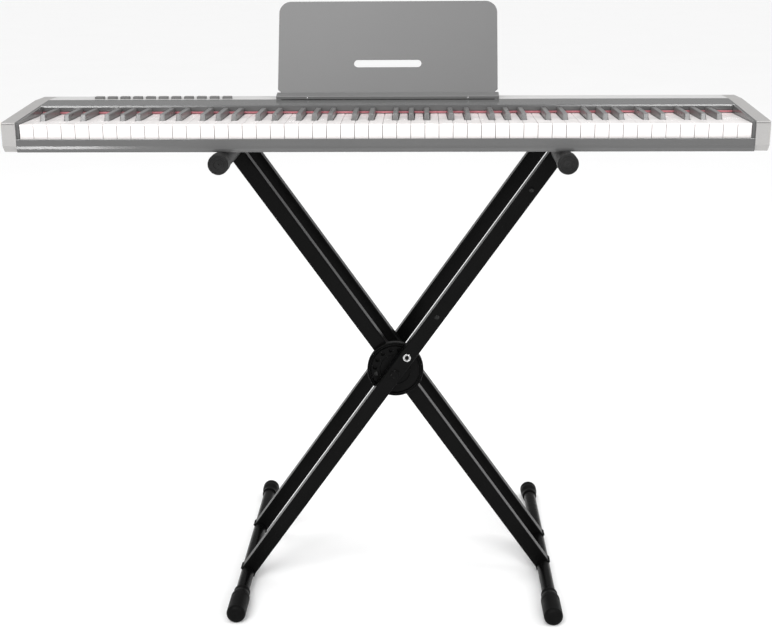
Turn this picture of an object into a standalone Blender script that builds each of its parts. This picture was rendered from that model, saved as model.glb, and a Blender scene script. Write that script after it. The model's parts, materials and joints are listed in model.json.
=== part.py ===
"""Digital piano on a double-braced folding X stand.

Frame: +X to the treble end, +Y to the back, +Z up, the floor at Z = 0.  The piano is centred on X = 0
and the base tubes are centred on Y = 0.  Every length below is in metres, written as millimetres * MM.
"""

import math

import bmesh
import bpy
from mathutils import Matrix, Vector

MM = 0.001
GAP = 0.3 * MM  # between two pieces that touch
RUN = 0.5 * MM  # running clearance, per side, round a piece that slides or turns
CUT = 5 * MM  # how far a cutter reaches beyond the face that it opens

# ---- Piano: overall sizes ----
PIANO_DEPTH = 260 * MM
PIANO_FRONT_Y = -222 * MM
PIANO_BOTTOM_Z = 853 * MM
CAP_WIDTH = 23.5 * MM  # each end cap, along X
CHEEK_GAP = 5.5 * MM  # between the last key and the end cap
FRONT_HEIGHT = 50 * MM  # end cap at the front
REAR_HEIGHT = 65.5 * MM  # end cap, fascia and deck at the back
SKIN = 2.5 * MM  # plastic wall
RAIL_HEIGHT = 22.5 * MM
RAIL_DEPTH = 4.5 * MM
DECK_DEPTH = 55 * MM  # level strip at the back
FASCIA_DEPTH = 60 * MM  # sloping band between keys and deck
FASCIA_LEVEL = 7 * MM  # the back of that band, which is level

# ---- Keys ----
LOWEST_NOTE = 21  # A0, as a MIDI number
HIGHEST_NOTE = 108  # C8
WHITE_NOTES = (0, 2, 4, 5, 7, 9, 11)
BLACK_SHIFTS = {1: -2.5 * MM, 3: 2.5 * MM, 6: -3.4 * MM, 8: 0.0, 10: 3.4 * MM}
KEY_PITCH = 23.5 * MM
KEY_SLIT = 1.0 * MM
KEY_FRONT = 6 * MM  # behind the piano's front plane
KEY_TOP = 46.5 * MM  # above the piano's underside
KEY_SKIRT = 26.5 * MM  # height of a white key
BLACK_FRONT = 50 * MM
BLACK_RISE = 11 * MM
BLACK_WIDTH = 11 * MM
BLACK_TAPER = 1.3 * MM
KEY_SIDE_GAP = 1.0 * MM
COMB_REACH = 27 * MM  # of the key combs, behind the fascia's front edge
COMB_BAR = 10 * MM
HINGE_BEHIND_COMB = 6 * MM
HINGE_BELOW_TOP = 2.5 * MM
SHANK_REACH = 18 * MM  # of a black key, behind its cap
SHANK_DEPTH = 34 * MM
BLACK_BAR = Vector((12, 7)) * MM  # depth, height
FELT_THICKNESS = 3 * MM
FELT_HEIGHT = 3.5 * MM
BLACK_END_GAP = 2.5 * MM  # from a black key's back end to the fascia's front edge

# ---- Buttons, music rest, insides ----
BUTTON_COUNT = 11
BUTTON_PITCH = 23.5 * MM
BUTTONS_FROM_CAP = 90.5 * MM
BUTTON_SIZE = Vector((17.4, 11, 4.5)) * MM  # the last is the height above the deck
BUTTON_STEM = 5 * MM  # below the deck's top
BUTTON_EDGE = 0.8 * MM
BUTTONS_FORWARD = 13.5 * MM  # in front of the deck's middle
REST_WIDTH = 400 * MM
REST_X = 3 * MM
REST_HEIGHT = 183 * MM
REST_LEAN = math.radians(23.6)
REST_SHEET = 3 * MM
REST_CORNER = 22 * MM
REST_SLOT = Vector((123, 14.5)) * MM
REST_SLOT_DROP = 118 * MM  # from the top edge to the slot's middle
LEDGE_DEPTH = 15 * MM
LEDGE_LIFT = 6 * MM  # above the sheet's lower edge
TAB_WIDTH = 60 * MM
TAB_LENGTH = 9 * MM
TAB_SPREAD = 150 * MM
REST_FROM_FASCIA = 6 * MM
SPEAKER_RADIUS = 28 * MM
SPEAKER_HEIGHT = 26 * MM
SPEAKER_RIM = 8 * MM
SPEAKER_BACK_GAP = 4 * MM  # in front of the deck's middle
SPEAKER_FROM_CAP = 176.5 * MM
BOARD_SIZE = Vector((330, 38, 1.6)) * MM
BOARD_DROP = 12 * MM  # below the deck's top
INLET_SIZE = Vector((14, 12, 11)) * MM
INLET_FROM_CAP = 96.5 * MM
INLET_BORE = 2.75 * MM

# ---- Stand ----
STAND_X = 17 * MM  # the stand stands a little to the treble side
STAND_HALF_WIDTH = 289 * MM  # of base tubes and arms, from the stand's middle
BASE_LENGTH = 568 * MM  # over the rubber feet
ARM_LENGTH = 480 * MM  # over the rubber grips
TUBE_RADIUS = 12.5 * MM
TUBE_WALL = 1.5 * MM
FOOT_WALL = 5 * MM  # rubber round the tube
FOOT_NECK_WALL = 2 * MM
FOOT_TAPER = 24 * MM
FOOT_FLAT = 0.8 * MM  # cut from the foot, so that it stands on a flat
FRONT_FOOT_LENGTH = 88 * MM
REAR_FOOT_LENGTH = 46 * MM
RUBBER_END = 8 * MM  # rubber beyond the tube's end
GRIP_WALL = 5 * MM
GRIP_HEAD = 26 * MM
SLEEVE_WALL = 2.7 * MM
LEG_CENTRE_Y = -15 * MM
LEG_FACE = 28 * MM
LEG_DEPTH = 25 * MM
LEG_WALL = 1.5 * MM
OUTER_HALF_SPAN = 107 * MM  # outer pair, from its middle to its outer face
BRACE_GAP = 12 * MM  # between an outer leg and an inner one
DISC_RADIUS = 52.5 * MM
DISC_RIM = 6 * MM
DISC_DISH = 4 * MM
DISC_EDGE = 1.5 * MM
DETENT_SEAT = 7 * MM  # of the disc's raised middle, outside the circle of detents
BOLT_RADIUS = 5 * MM
BOLT_HEAD = Vector((9, 5)) * MM  # radius, height
NUT = Vector((8.5, 7)) * MM
BOLT_TIP = 4 * MM  # beyond the nut
LOCK_PIN_INSET = 14.5 * MM  # from the disc's edge to the circle of detents
LOCK_PIN_RADIUS = 4 * MM
LOCK_HEAD = Vector((7.5, 4)) * MM
DETENT_COUNT = 6
DETENT_STEP = math.radians(24)

# ---- Worked out from the above ----
FOOT_RADIUS = TUBE_RADIUS + FOOT_WALL
GRIP_RADIUS = TUBE_RADIUS + GRIP_WALL
SLEEVE_RADIUS = TUBE_RADIUS + SLEEVE_WALL
LOCK_PIN_OFFSET = DISC_RADIUS - LOCK_PIN_INSET  # up the front outer leg from the pivot
ARM_Z = PIANO_BOTTOM_Z - GAP - SLEEVE_RADIUS
BASE_Z = FOOT_RADIUS - FOOT_FLAT
PIVOT = Vector((STAND_X, LEG_CENTRE_Y, (ARM_Z + BASE_Z) / 2))
HALF_RISE = (ARM_Z - BASE_Z) / 2
SPREAD = math.atan2(STAND_HALF_WIDTH, HALF_RISE)  # each leg's angle from upright
LEG_REACH = math.hypot(STAND_HALF_WIDTH, HALF_RISE) - TUBE_RADIUS - GAP
INNER_HALF_SPAN = OUTER_HALF_SPAN - LEG_DEPTH - BRACE_GAP
WHITE_COUNT = sum(note % 12 in WHITE_NOTES for note in range(LOWEST_NOTE, HIGHEST_NOTE + 1))
KEYBED_LEFT = -WHITE_COUNT * KEY_PITCH / 2
CAP_INSIDE_X = CHEEK_GAP - KEYBED_LEFT
PIANO_WIDTH = 2 * (CAP_INSIDE_X + CAP_WIDTH)
DECK_FRONT = PIANO_DEPTH - DECK_DEPTH
SLOPE_DEPTH = DECK_FRONT - FASCIA_LEVEL  # from the front to where the top turns level
FASCIA_FRONT = DECK_FRONT - FASCIA_DEPTH
BLACK_BACK = FASCIA_FRONT - BLACK_END_GAP
COMB_BACK = FASCIA_FRONT + COMB_REACH
REST_BASE = Vector((REST_X, DECK_FRONT + REST_FROM_FASCIA, REAR_HEIGHT + GAP))


def top_height(y):
    """Height of the end caps' top edge at depth y from the front plane."""
    slope = (REAR_HEIGHT - FRONT_HEIGHT) / SLOPE_DEPTH
    return FRONT_HEIGHT + slope * min(y, SLOPE_DEPTH)


# ---- Scene, materials and helpers ----
def clear_scene():
    for obj in list(bpy.data.objects):
        bpy.data.objects.remove(obj, do_unlink=True)


def collection(name):
    made = bpy.data.collections.new(name)
    bpy.context.scene.collection.children.link(made)
    return made


clear_scene()
PARTS = collection("digital_piano_on_stand")
HELPERS = collection("cutters")


def material(name, colour, roughness, metallic=0.0):
    made = bpy.data.materials.new(name)
    made.use_nodes = True
    shader = made.node_tree.nodes["Principled BSDF"]
    shader.inputs["Base Color"].default_value = (*colour, 1.0)
    shader.inputs["Roughness"].default_value = roughness
    shader.inputs["Metallic"].default_value = metallic
    made.diffuse_color = (*colour, 1.0)
    return made


SHELL_GREY = material("shell_grey", (0.19, 0.19, 0.19), 0.35)
CAP_SILVER = material("cap_silver", (0.55, 0.53, 0.53), 0.35)
DECK_SILVER = material("deck_silver", (0.69, 0.69, 0.69), 0.4)
KEY_WHITE = material("key_white", (0.93, 0.93, 0.92), 0.25)
KEY_BLACK = material("key_black", (0.19, 0.19, 0.19), 0.35)
FELT_RED = material("felt_red", (0.55, 0.16, 0.19), 0.95)
REST_GREY = material("rest_grey", (0.27, 0.27, 0.27), 0.4)
BUTTON_DARK = material("button_dark", (0.12, 0.12, 0.12), 0.5)
BOARD_GREEN = material("board_green", (0.02, 0.16, 0.06), 0.5)
CONE_BLACK = material("cone_black", (0.02, 0.02, 0.02), 0.7)
STAND_BLACK = material("stand_black", (0.008, 0.008, 0.008), 0.3)
RUBBER_BLACK = material("rubber_black", (0.02, 0.02, 0.02), 0.75)
CHROME = material("chrome", (0.75, 0.75, 0.77), 0.12, 1.0)


def add(name, mesh, coat=None, parent=None, matrix=None):
    """Links a mesh as a part, or as a helper when it has no material."""
    obj = bpy.data.objects.new(name, mesh)
    if coat:
        PARTS.objects.link(obj)
        mesh.materials.clear()
        mesh.materials.append(coat)
        mesh.set_sharp_from_angle(angle=math.radians(35))
    else:
        HELPERS.objects.link(obj)
        obj.hide_render = True
        obj.display_type = "WIRE"
    obj.parent = parent
    obj.matrix_basis = matrix or Matrix()
    return obj


def empty(name, place, parent=None):
    made = bpy.data.objects.new(name, None)
    PARTS.objects.link(made)
    made.parent = parent
    made.location = place
    return made


def to_mesh(name, shape):
    mesh = bpy.data.meshes.new(name)
    shape.normal_update()
    shape.to_mesh(mesh)
    shape.free()
    return mesh


def boxes(name, corners):
    """One mesh of separate boxes, each given by its low and its high corner."""
    shape = bmesh.new()
    for low, high in corners:
        low, high = Vector(low), Vector(high)
        place = Matrix.Translation((low + high) / 2) @ Matrix.Diagonal((*(high - low), 1.0))
        bmesh.ops.create_cube(shape, size=1.0, matrix=place)
    return to_mesh(name, shape)


def rod(name, radius, low, high, sides=24, radius_high=None):
    """A cylinder, or a cone, along Y from low to high."""
    shape = bmesh.new()
    turn = Matrix.Rotation(-math.pi / 2, 4, "X")
    place = Matrix.Translation((0, (low + high) / 2, 0)) @ turn
    wide = radius if radius_high is None else radius_high
    bmesh.ops.create_cone(
        shape, cap_ends=True, segments=sides, radius1=radius, radius2=wide, depth=high - low, matrix=place
    )
    return to_mesh(name, shape)


def turned(name, profile, coat=None, parent=None, place=(0, 0, 0), sides=24, heading=0.0):
    """A solid turned about Y. The profile's points (radius, y) run from its front end down its outer side."""
    mesh = bpy.data.meshes.new(name)
    points = [(radius, 0.0, -y) for radius, y in profile]
    mesh.from_pydata(points, [(i, i + 1) for i in range(len(points) - 1)], [])
    obj = add(name, mesh, coat, parent)
    obj.location = place
    obj.rotation_euler = (math.pi / 2, 0, heading)
    screw = obj.modifiers.new("turn", "SCREW")
    screw.axis = "Z"
    screw.steps = screw.render_steps = sides
    screw.use_merge_vertices = True
    screw.merge_threshold = 0.00001
    screw.use_smooth_shade = False
    return obj


def slab(name, outlines, low, high):
    """A flat shape in XY, with holes, as a closed mesh from z = low to z = high."""
    curve = bpy.data.curves.new(name, "CURVE")
    curve.dimensions = "2D"
    curve.fill_mode = "BOTH"
    curve.extrude = (high - low) / 2
    for outline in outlines:
        spline = curve.splines.new("POLY")
        spline.points.add(len(outline) - 1)
        spline.use_cyclic_u = True
        for point, (x, y) in zip(spline.points, outline):
            point.co = (x, y, 0, 1)
    drawn = bpy.data.objects.new(name, curve)
    HELPERS.objects.link(drawn)
    graph = bpy.context.evaluated_depsgraph_get()
    mesh = bpy.data.meshes.new_from_object(drawn.evaluated_get(graph))
    bpy.data.objects.remove(drawn, do_unlink=True)
    bpy.data.curves.remove(curve)
    shape = bmesh.new()
    shape.from_mesh(mesh)
    bmesh.ops.remove_doubles(shape, verts=shape.verts, dist=0.00001)
    bmesh.ops.dissolve_limit(shape, angle_limit=0.001, verts=shape.verts, edges=shape.edges)
    bmesh.ops.translate(shape, verts=shape.verts, vec=(0, 0, (low + high) / 2))
    bmesh.ops.recalc_face_normals(shape, faces=shape.faces)
    shape.to_mesh(mesh)
    shape.free()
    mesh.name = name
    return mesh


def side_slab(name, outline, low, high):
    """A (y, z) outline made solid from x = low to x = high."""
    mesh = slab(name, [outline], low, high)
    mesh.transform(Matrix(((0, 0, 1, 0), (1, 0, 0, 0), (0, 1, 0, 0), (0, 0, 0, 1))))
    return mesh


def boolean(obj, other_mesh, operation="DIFFERENCE", matrix=None, solver="EXACT"):
    """Cuts or joins obj with a mesh given in obj's own frame."""
    count = len(obj.modifiers)
    helper = add(f"{obj.name}.{operation.lower()}.{count}", other_mesh, None, obj, matrix)
    step = obj.modifiers.new(helper.name, "BOOLEAN")
    step.operation = operation
    step.solver = solver
    step.object = helper


def sheet_outline(width, height, radius, steps=6):
    """Outline of a sheet standing on y = 0, with round top corners."""
    outline = [(width / 2, 0.0)]
    for side, start in ((1, 0), (-1, 90)):
        for i in range(steps + 1):
            angle = math.radians(start + 90 * i / steps)
            x = side * (width / 2 - radius) + radius * math.cos(angle)
            outline.append((x, height - radius + radius * math.sin(angle)))
    outline.append((-width / 2, 0.0))
    return outline


# ---- Stand ----
def make_leg(name, frame, middle_y, lean, holes):
    """A box-section leg that crosses the pivot, with round holes (height, radius) from front to back."""
    half = Vector((LEG_FACE, LEG_DEPTH, 2 * LEG_REACH)) / 2
    place = Matrix.Translation((0, middle_y, 0)) @ Matrix.Rotation(lean, 4, "Y")
    leg = add(name, boxes(name, [(-half, half)]), STAND_BLACK, frame, place)
    bore = half - Vector((LEG_WALL, LEG_WALL, -CUT))
    boolean(leg, boxes("bore", [(-bore, bore)]))
    for height, radius in holes:
        hole = rod("hole", radius, -LEG_DEPTH, LEG_DEPTH)
        boolean(leg, hole, matrix=Matrix.Translation((0, 0, height)))


def make_tube(name, frame, x, z, length, middle_y):
    """A round tube along Y, open at both ends."""
    half = length / 2
    tube = add(name, rod(name, TUBE_RADIUS, -half, half), STAND_BLACK, frame)
    tube.location = (x, middle_y, z)
    boolean(tube, rod("bore", TUBE_RADIUS - TUBE_WALL, -half - CUT, half + CUT))


def end_cup_profile(length, widths, rounding):
    """Profile of a rubber cup on a tube's end: outer steps (y, radius), then the socket."""
    outer = [(0.0, 0.0), (widths[0][1] - rounding, 0.0)]
    for i in range(1, 4):
        angle = math.radians(30 * i)
        reach = widths[0][1] - rounding + rounding * math.sin(angle)
        outer.append((reach, rounding * (1 - math.cos(angle))))
    outer += [(radius, y) for y, radius in widths]
    socket = TUBE_RADIUS + GAP
    return outer + [(socket, length), (socket, RUBBER_END), (0.0, RUBBER_END)]


def make_foot(name, frame, place, heading, length):
    """A rubber foot on a base tube's end. It tapers towards its mouth, and has a flat below."""
    neck = TUBE_RADIUS + FOOT_NECK_WALL
    widths = [(length - FOOT_TAPER, FOOT_RADIUS), (length - FOOT_TAPER / 3, neck), (length, neck)]
    profile = end_cup_profile(length, widths, FOOT_WALL)
    foot = turned(name, profile, RUBBER_BLACK, frame, place, heading=heading)
    ground = boxes("ground", [((-1, -1, -1), (1, 1, -PIVOT.z))])
    helper = add(f"{name}.ground", ground, None, frame)
    cut = foot.modifiers.new("ground", "BOOLEAN")
    cut.object = helper


def make_grip(name, frame, place, heading, length):
    """A rubber grip on an arm's end: a wide head, then a sleeve."""
    step = GRIP_WALL - SLEEVE_WALL
    widths = [(GRIP_HEAD, GRIP_RADIUS), (GRIP_HEAD + step, SLEEVE_RADIUS), (length, SLEEVE_RADIUS)]
    profile = end_cup_profile(length, widths, GRIP_WALL / 2)
    turned(name, profile, RUBBER_BLACK, frame, place, heading=heading)


def make_pad(name, frame, x, z, low, high):
    """The rubber sleeve on the arm's middle, between its two legs."""
    pad = add(name, rod(name, SLEEVE_RADIUS, low, high), RUBBER_BLACK, frame)
    pad.location = (x, 0, z)
    boolean(pad, rod("bore", TUBE_RADIUS + GAP, low - CUT, high + CUT))


def make_frame(letter, side, half_span, lean):
    """One rigid half of the X: two legs, the arm at the top and the base tube at the bottom."""
    frame = empty(f"frame_{letter}", PIVOT)
    arm_side = "left" if side < 0 else "right"
    base_side = "right" if side < 0 else "left"
    middle = half_span - LEG_DEPTH / 2
    holes = [(0.0, BOLT_RADIUS + RUN)]
    pin_hole = [(LOCK_PIN_OFFSET, LOCK_PIN_RADIUS + RUN)] if letter == "b" else []
    make_leg(f"leg_{letter}_front", frame, -middle, lean, holes + pin_hole)
    make_leg(f"leg_{letter}_rear", frame, middle, lean, holes)

    arm_x, base_x = side * STAND_HALF_WIDTH, -side * STAND_HALF_WIDTH
    make_tube(f"arm_tube_{arm_side}", frame, arm_x, HALF_RISE, ARM_LENGTH - 2 * RUBBER_END - 2 * GAP, 0)
    grip_length = ARM_LENGTH / 2 - half_span - GAP
    tip = ARM_LENGTH / 2
    make_grip(f"arm_grip_front_{arm_side}", frame, (arm_x, -tip, HALF_RISE), 0, grip_length)
    make_grip(f"arm_grip_rear_{arm_side}", frame, (arm_x, tip, HALF_RISE), math.pi, grip_length)
    pad = half_span - LEG_DEPTH - GAP
    make_pad(f"arm_pad_{arm_side}", frame, arm_x, HALF_RISE, -pad, pad)

    base_y = -LEG_CENTRE_Y
    base_tube = BASE_LENGTH - 2 * RUBBER_END - 2 * GAP
    make_tube(f"base_tube_{base_side}", frame, base_x, -HALF_RISE, base_tube, base_y)
    front = (base_x, base_y - BASE_LENGTH / 2, -HALF_RISE)
    rear = (base_x, base_y + BASE_LENGTH / 2, -HALF_RISE)
    make_foot(f"foot_front_{base_side}", frame, front, 0, FRONT_FOOT_LENGTH)
    make_foot(f"foot_rear_{base_side}", frame, rear, math.pi, REAR_FOOT_LENGTH)
    return frame


def make_disc(frame):
    """Dished locking disc on the inner front leg, with a row of detents for the lock pin."""
    back = -INNER_HALF_SPAN - GAP
    front = -OUTER_HALF_SPAN + LEG_DEPTH + 2 * GAP
    dish = front + DISC_DISH
    rim = DISC_RADIUS - DISC_RIM
    bore = BOLT_RADIUS + RUN
    profile = [(bore, front), (LOCK_PIN_OFFSET + DETENT_SEAT, front), (rim - 1 * MM, dish), (rim, dish)]
    profile += [(rim + DISC_EDGE, front), (DISC_RADIUS - DISC_EDGE, front)]
    profile += [(DISC_RADIUS, front + DISC_EDGE), (DISC_RADIUS, back), (bore, back), (bore, front)]
    disc = turned("locking_disc", profile, STAND_BLACK, frame, sides=40)
    shape = bmesh.new()
    for i in range(DETENT_COUNT):
        angle = SPREAD - DETENT_STEP * i
        spot = Vector((math.sin(angle), 0, math.cos(angle))) * LOCK_PIN_OFFSET
        place = Matrix.Translation(spot + Vector((0, front, 0))) @ Matrix.Rotation(math.pi / 2, 4, "X")
        bmesh.ops.create_cone(
            shape, cap_ends=True, segments=16, radius1=LOCK_PIN_RADIUS + RUN,
            radius2=LOCK_PIN_RADIUS + RUN, depth=2 * CUT, matrix=place,
        )
    helper = add("locking_disc.detents", to_mesh("detents", shape), None, frame)
    cut = disc.modifiers.new("detents", "BOOLEAN")
    cut.object = helper


def make_pivot(hub):
    """The bolt through all four legs, with its nut."""
    face = OUTER_HALF_SPAN + GAP
    end = face + NUT.y + BOLT_TIP
    profile = [(0.0, -face - BOLT_HEAD.y), (BOLT_HEAD.x - 1.5 * MM, -face - BOLT_HEAD.y)]
    profile += [(BOLT_HEAD.x, -face - BOLT_HEAD.y + 1.5 * MM), (BOLT_HEAD.x, -face)]
    profile += [(BOLT_RADIUS, -face), (BOLT_RADIUS, end), (0.0, end)]
    turned("pivot_bolt", profile, STAND_BLACK, hub)
    nut = add("pivot_nut", rod("pivot_nut", NUT.x, face, face + NUT.y, sides=6), STAND_BLACK, hub)
    boolean(nut, rod("thread", BOLT_RADIUS + GAP, face - CUT, face + NUT.y + CUT))


def make_lock_pin(frame):
    """Sprung pin through the front outer leg. Its nose stops just short of the disc."""
    spot = Vector((math.sin(SPREAD), 0, math.cos(SPREAD))) * LOCK_PIN_OFFSET
    face = -OUTER_HALF_SPAN - GAP
    nose = -OUTER_HALF_SPAN + LEG_DEPTH + GAP / 2
    profile = [(0.0, face - LOCK_HEAD.y), (LOCK_HEAD.x - 2 * MM, face - LOCK_HEAD.y)]
    profile += [(LOCK_HEAD.x, face - 1 * MM), (LOCK_HEAD.x, face), (LOCK_PIN_RADIUS, face)]
    profile += [(LOCK_PIN_RADIUS, nose), (0.0, nose)]
    turned("lock_pin", profile, CHROME, frame, spot)


def make_stand():
    hub = empty("stand_hub", PIVOT)
    frame_a = make_frame("a", -1, INNER_HALF_SPAN, -SPREAD)
    frame_b = make_frame("b", 1, OUTER_HALF_SPAN, SPREAD)
    make_disc(frame_a)
    make_lock_pin(frame_b)
    make_pivot(hub)


# ---- Piano casing ----
def make_casing(piano):
    level = (PIANO_DEPTH, REAR_HEIGHT)
    profile = [(0, 0), (0, FRONT_HEIGHT), (SLOPE_DEPTH, REAR_HEIGHT), level, (PIANO_DEPTH, 0)]
    wall = 2 * SKIN
    pocket = [(wall, wall), (wall, FRONT_HEIGHT - wall), (SLOPE_DEPTH, REAR_HEIGHT - wall)]
    pocket += [(PIANO_DEPTH - wall, REAR_HEIGHT - wall), (PIANO_DEPTH - wall, wall)]
    for side, word in ((-1, "left"), (1, "right")):
        low, high = sorted((side * CAP_INSIDE_X, side * PIANO_WIDTH / 2))
        cap = add(f"end_cap_{word}", side_slab("cap", profile, low, high), CAP_SILVER, piano)
        inside = (low - CUT, high - SKIN) if side > 0 else (low + SKIN, high + CUT)
        boolean(cap, side_slab("pocket", pocket, *inside))

    span = CAP_INSIDE_X - GAP
    rail = boxes("front_rail", [((-span, 0, 0), (span, RAIL_DEPTH, RAIL_HEIGHT))])
    add("front_rail", rail, SHELL_GREY, piano)

    front, back = RAIL_DEPTH + GAP, PIANO_DEPTH - GAP
    drop = SKIN + 2 * GAP
    outline = [(front, 0), (front, FRONT_HEIGHT - drop), (SLOPE_DEPTH, REAR_HEIGHT - drop)]
    outline += [(back, REAR_HEIGHT - drop), (back, 0)]
    shell = add("bottom_shell", side_slab("bottom_shell", outline, -span, span), SHELL_GREY, piano)
    low = (-span + SKIN, front - CUT, SKIN)
    boolean(shell, boxes("inside", [(low, (span - SKIN, back - SKIN, REAR_HEIGHT + CUT))]))
    inlet = Vector((INLET_SIZE.x / 2 + GAP, CUT, INLET_SIZE.z / 2 + GAP))
    spot = Vector((CAP_INSIDE_X - INLET_FROM_CAP, back, REAR_HEIGHT / 2))
    boolean(shell, boxes("inlet_hole", [(spot - inlet, spot + inlet)]))


def make_fascia(piano):
    """Sloping band behind the keys, the level deck behind it, and the felt below its front edge."""
    span = CAP_INSIDE_X - GAP
    felt_base = KEY_TOP + KEY_SIDE_GAP
    lip_base, lip_back = felt_base + FELT_HEIGHT + GAP, FASCIA_FRONT + SKIN
    outline = [(FASCIA_FRONT, lip_base), (FASCIA_FRONT, top_height(FASCIA_FRONT))]
    outline += [(SLOPE_DEPTH, REAR_HEIGHT), (DECK_FRONT - GAP, REAR_HEIGHT)]
    outline += [(DECK_FRONT - GAP, REAR_HEIGHT - SKIN), (SLOPE_DEPTH, REAR_HEIGHT - SKIN)]
    outline += [(lip_back, top_height(lip_back) - SKIN), (lip_back, lip_base)]
    fascia = add("fascia", side_slab("fascia", outline, -span, span), SHELL_GREY, piano)
    lip_span, shell_top = span - SKIN - GAP, top_height(FASCIA_FRONT) - SKIN
    ends = [((-span - CUT, 0, 0), (-lip_span, lip_back + GAP, shell_top))]
    ends += [((lip_span, 0, 0), (span + CUT, lip_back + GAP, shell_top))]
    boolean(fascia, boxes("lip_ends", ends))

    deck_box = [((-span, DECK_FRONT, REAR_HEIGHT - SKIN), (span, PIANO_DEPTH, REAR_HEIGHT))]
    deck = add("rear_deck", boxes("rear_deck", deck_box), DECK_SILVER, piano)
    hole = Vector((BUTTON_SIZE.x / 2 + RUN, BUTTON_SIZE.y / 2 + RUN, CUT))
    holes = [(spot - hole, spot + hole) for spot in button_places()]
    boolean(deck, boxes("button_holes", holes))
    boolean(deck, rest_tabs(RUN), matrix=rest_frame())

    felt_front = BLACK_BACK + KEY_SIDE_GAP
    low = (KEYBED_LEFT, felt_front, felt_base)
    high = (-KEYBED_LEFT, felt_front + FELT_THICKNESS, felt_base + FELT_HEIGHT)
    add("felt_strip", boxes("felt_strip", [(low, high)]), FELT_RED, piano)


def button_places():
    first = BUTTONS_FROM_CAP - CAP_INSIDE_X
    middle = DECK_FRONT + DECK_DEPTH / 2 - BUTTONS_FORWARD
    return [Vector((first + BUTTON_PITCH * i, middle, REAR_HEIGHT)) for i in range(BUTTON_COUNT)]


def make_buttons(piano):
    for number, spot in enumerate(button_places(), 1):
        half = BUTTON_SIZE / 2
        low = Vector((-half.x, -half.y, -BUTTON_STEM))
        name = f"button_{number:02d}"
        button = add(name, boxes(name, [(low, (half.x, half.y, BUTTON_SIZE.z))]), BUTTON_DARK, piano)
        button.location = spot
        edge = button.modifiers.new("edge", "BEVEL")
        edge.width = BUTTON_EDGE
        edge.segments = 1


# ---- Music rest ----
def rest_frame():
    """The rest's own frame: X across, Z up its sheet, whose back face is at Y = 0."""
    return Matrix.Translation(REST_BASE) @ Matrix.Rotation(-REST_LEAN, 4, "X")


def rest_tabs(clearance=0.0):
    corners = []
    for x in (-TAB_SPREAD, TAB_SPREAD):
        low = (x - TAB_WIDTH / 2 - clearance, -REST_SHEET - clearance, -TAB_LENGTH)
        high = (x + TAB_WIDTH / 2 + clearance, clearance, CUT)
        corners.append((low, high))
    return boxes("rest_tabs", corners)


def make_music_rest(piano):
    sheet = sheet_outline(REST_WIDTH, REST_HEIGHT, REST_CORNER)
    middle = REST_HEIGHT - REST_SLOT_DROP
    half = REST_SLOT / 2
    slot = [(-half.x, middle - half.y), (half.x, middle - half.y)]
    slot += [(half.x, middle + half.y), (-half.x, middle + half.y)]
    mesh = slab("music_rest", [sheet, slot], 0, REST_SHEET)
    mesh.transform(Matrix.Rotation(math.pi / 2, 4, "X"))
    rest = add("music_rest", mesh, REST_GREY, piano, rest_frame())
    boolean(rest, rest_tabs(-0.1 * MM), "UNION")
    reach = REST_WIDTH / 2 - 1 * MM
    low = (-reach, -REST_SHEET - LEDGE_DEPTH, LEDGE_LIFT)
    ledge = [(low, (reach, -REST_SHEET / 2, LEDGE_LIFT + REST_SHEET))]
    boolean(rest, boxes("ledge", ledge), "UNION")


# ---- Keys ----
def key_edges():
    """For every note: its middle (black) or its left boundary (white), from the lowest note up."""
    places, white = {}, 0
    for note in range(LOWEST_NOTE, HIGHEST_NOTE + 1):
        if note % 12 in WHITE_NOTES:
            places[note] = KEYBED_LEFT + white * KEY_PITCH
            white += 1
        else:
            places[note] = KEYBED_LEFT + white * KEY_PITCH + BLACK_SHIFTS[note % 12]
    return places


def is_black(note):
    return note % 12 not in WHITE_NOTES and LOWEST_NOTE <= note <= HIGHEST_NOTE


def white_key_sides(note, places):
    """The left and right sides of a white key's head and of its tail."""
    left = places[note] + KEY_SLIT / 2
    right = places[note] + KEY_PITCH - KEY_SLIT / 2
    clear = BLACK_WIDTH / 2 + KEY_SIDE_GAP
    tail_left = places[note - 1] + clear if is_black(note - 1) else left
    tail_right = places[note + 1] - clear if is_black(note + 1) else right
    return left, right, tail_left, tail_right


def white_comb_outline(notes, places):
    """Outline of one octave's white keys, joined by a bar at their back ends."""
    notch = BLACK_FRONT - KEY_SIDE_GAP
    bar_front = COMB_BACK - COMB_BAR
    outline = []
    for note in notes:
        left, right, tail_left, tail_right = white_key_sides(note, places)
        start = COMB_BACK if note == notes[0] else bar_front
        end = COMB_BACK if note == notes[-1] else bar_front
        outline.append((tail_left, start))
        if tail_left > left:
            outline += [(tail_left, notch), (left, notch)]
        outline += [(left, KEY_FRONT), (right, KEY_FRONT)]
        if tail_right < right:
            outline += [(right, notch), (tail_right, notch)]
        outline.append((tail_right, end))
    return outline


def make_white_comb(index, notes, places, piano):
    name = f"white_keys_{index}"
    low = KEY_TOP - KEY_SKIRT
    hinge = Vector((0, COMB_BACK + HINGE_BEHIND_COMB, KEY_TOP - HINGE_BELOW_TOP))
    mesh = slab(name, [white_comb_outline(notes, places)], low, KEY_TOP)
    mesh.transform(Matrix.Translation(-hinge))
    comb = add(name, mesh, KEY_WHITE, piano)
    comb.location = hinge
    hollows = []
    for note in notes:
        _, _, tail_left, tail_right = white_key_sides(note, places)
        corner = Vector((tail_left + SKIN, KEY_FRONT + SKIN, low - CUT))
        far = Vector((tail_right - SKIN, COMB_BACK - COMB_BAR - SKIN, KEY_TOP - SKIN))
        hollows.append((corner - hinge, far - hinge))
    # EXACT leaves open edges along the slits' ends, which all lie on one line.
    boolean(comb, boxes("hollows", hollows), solver="MANIFOLD")


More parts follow.
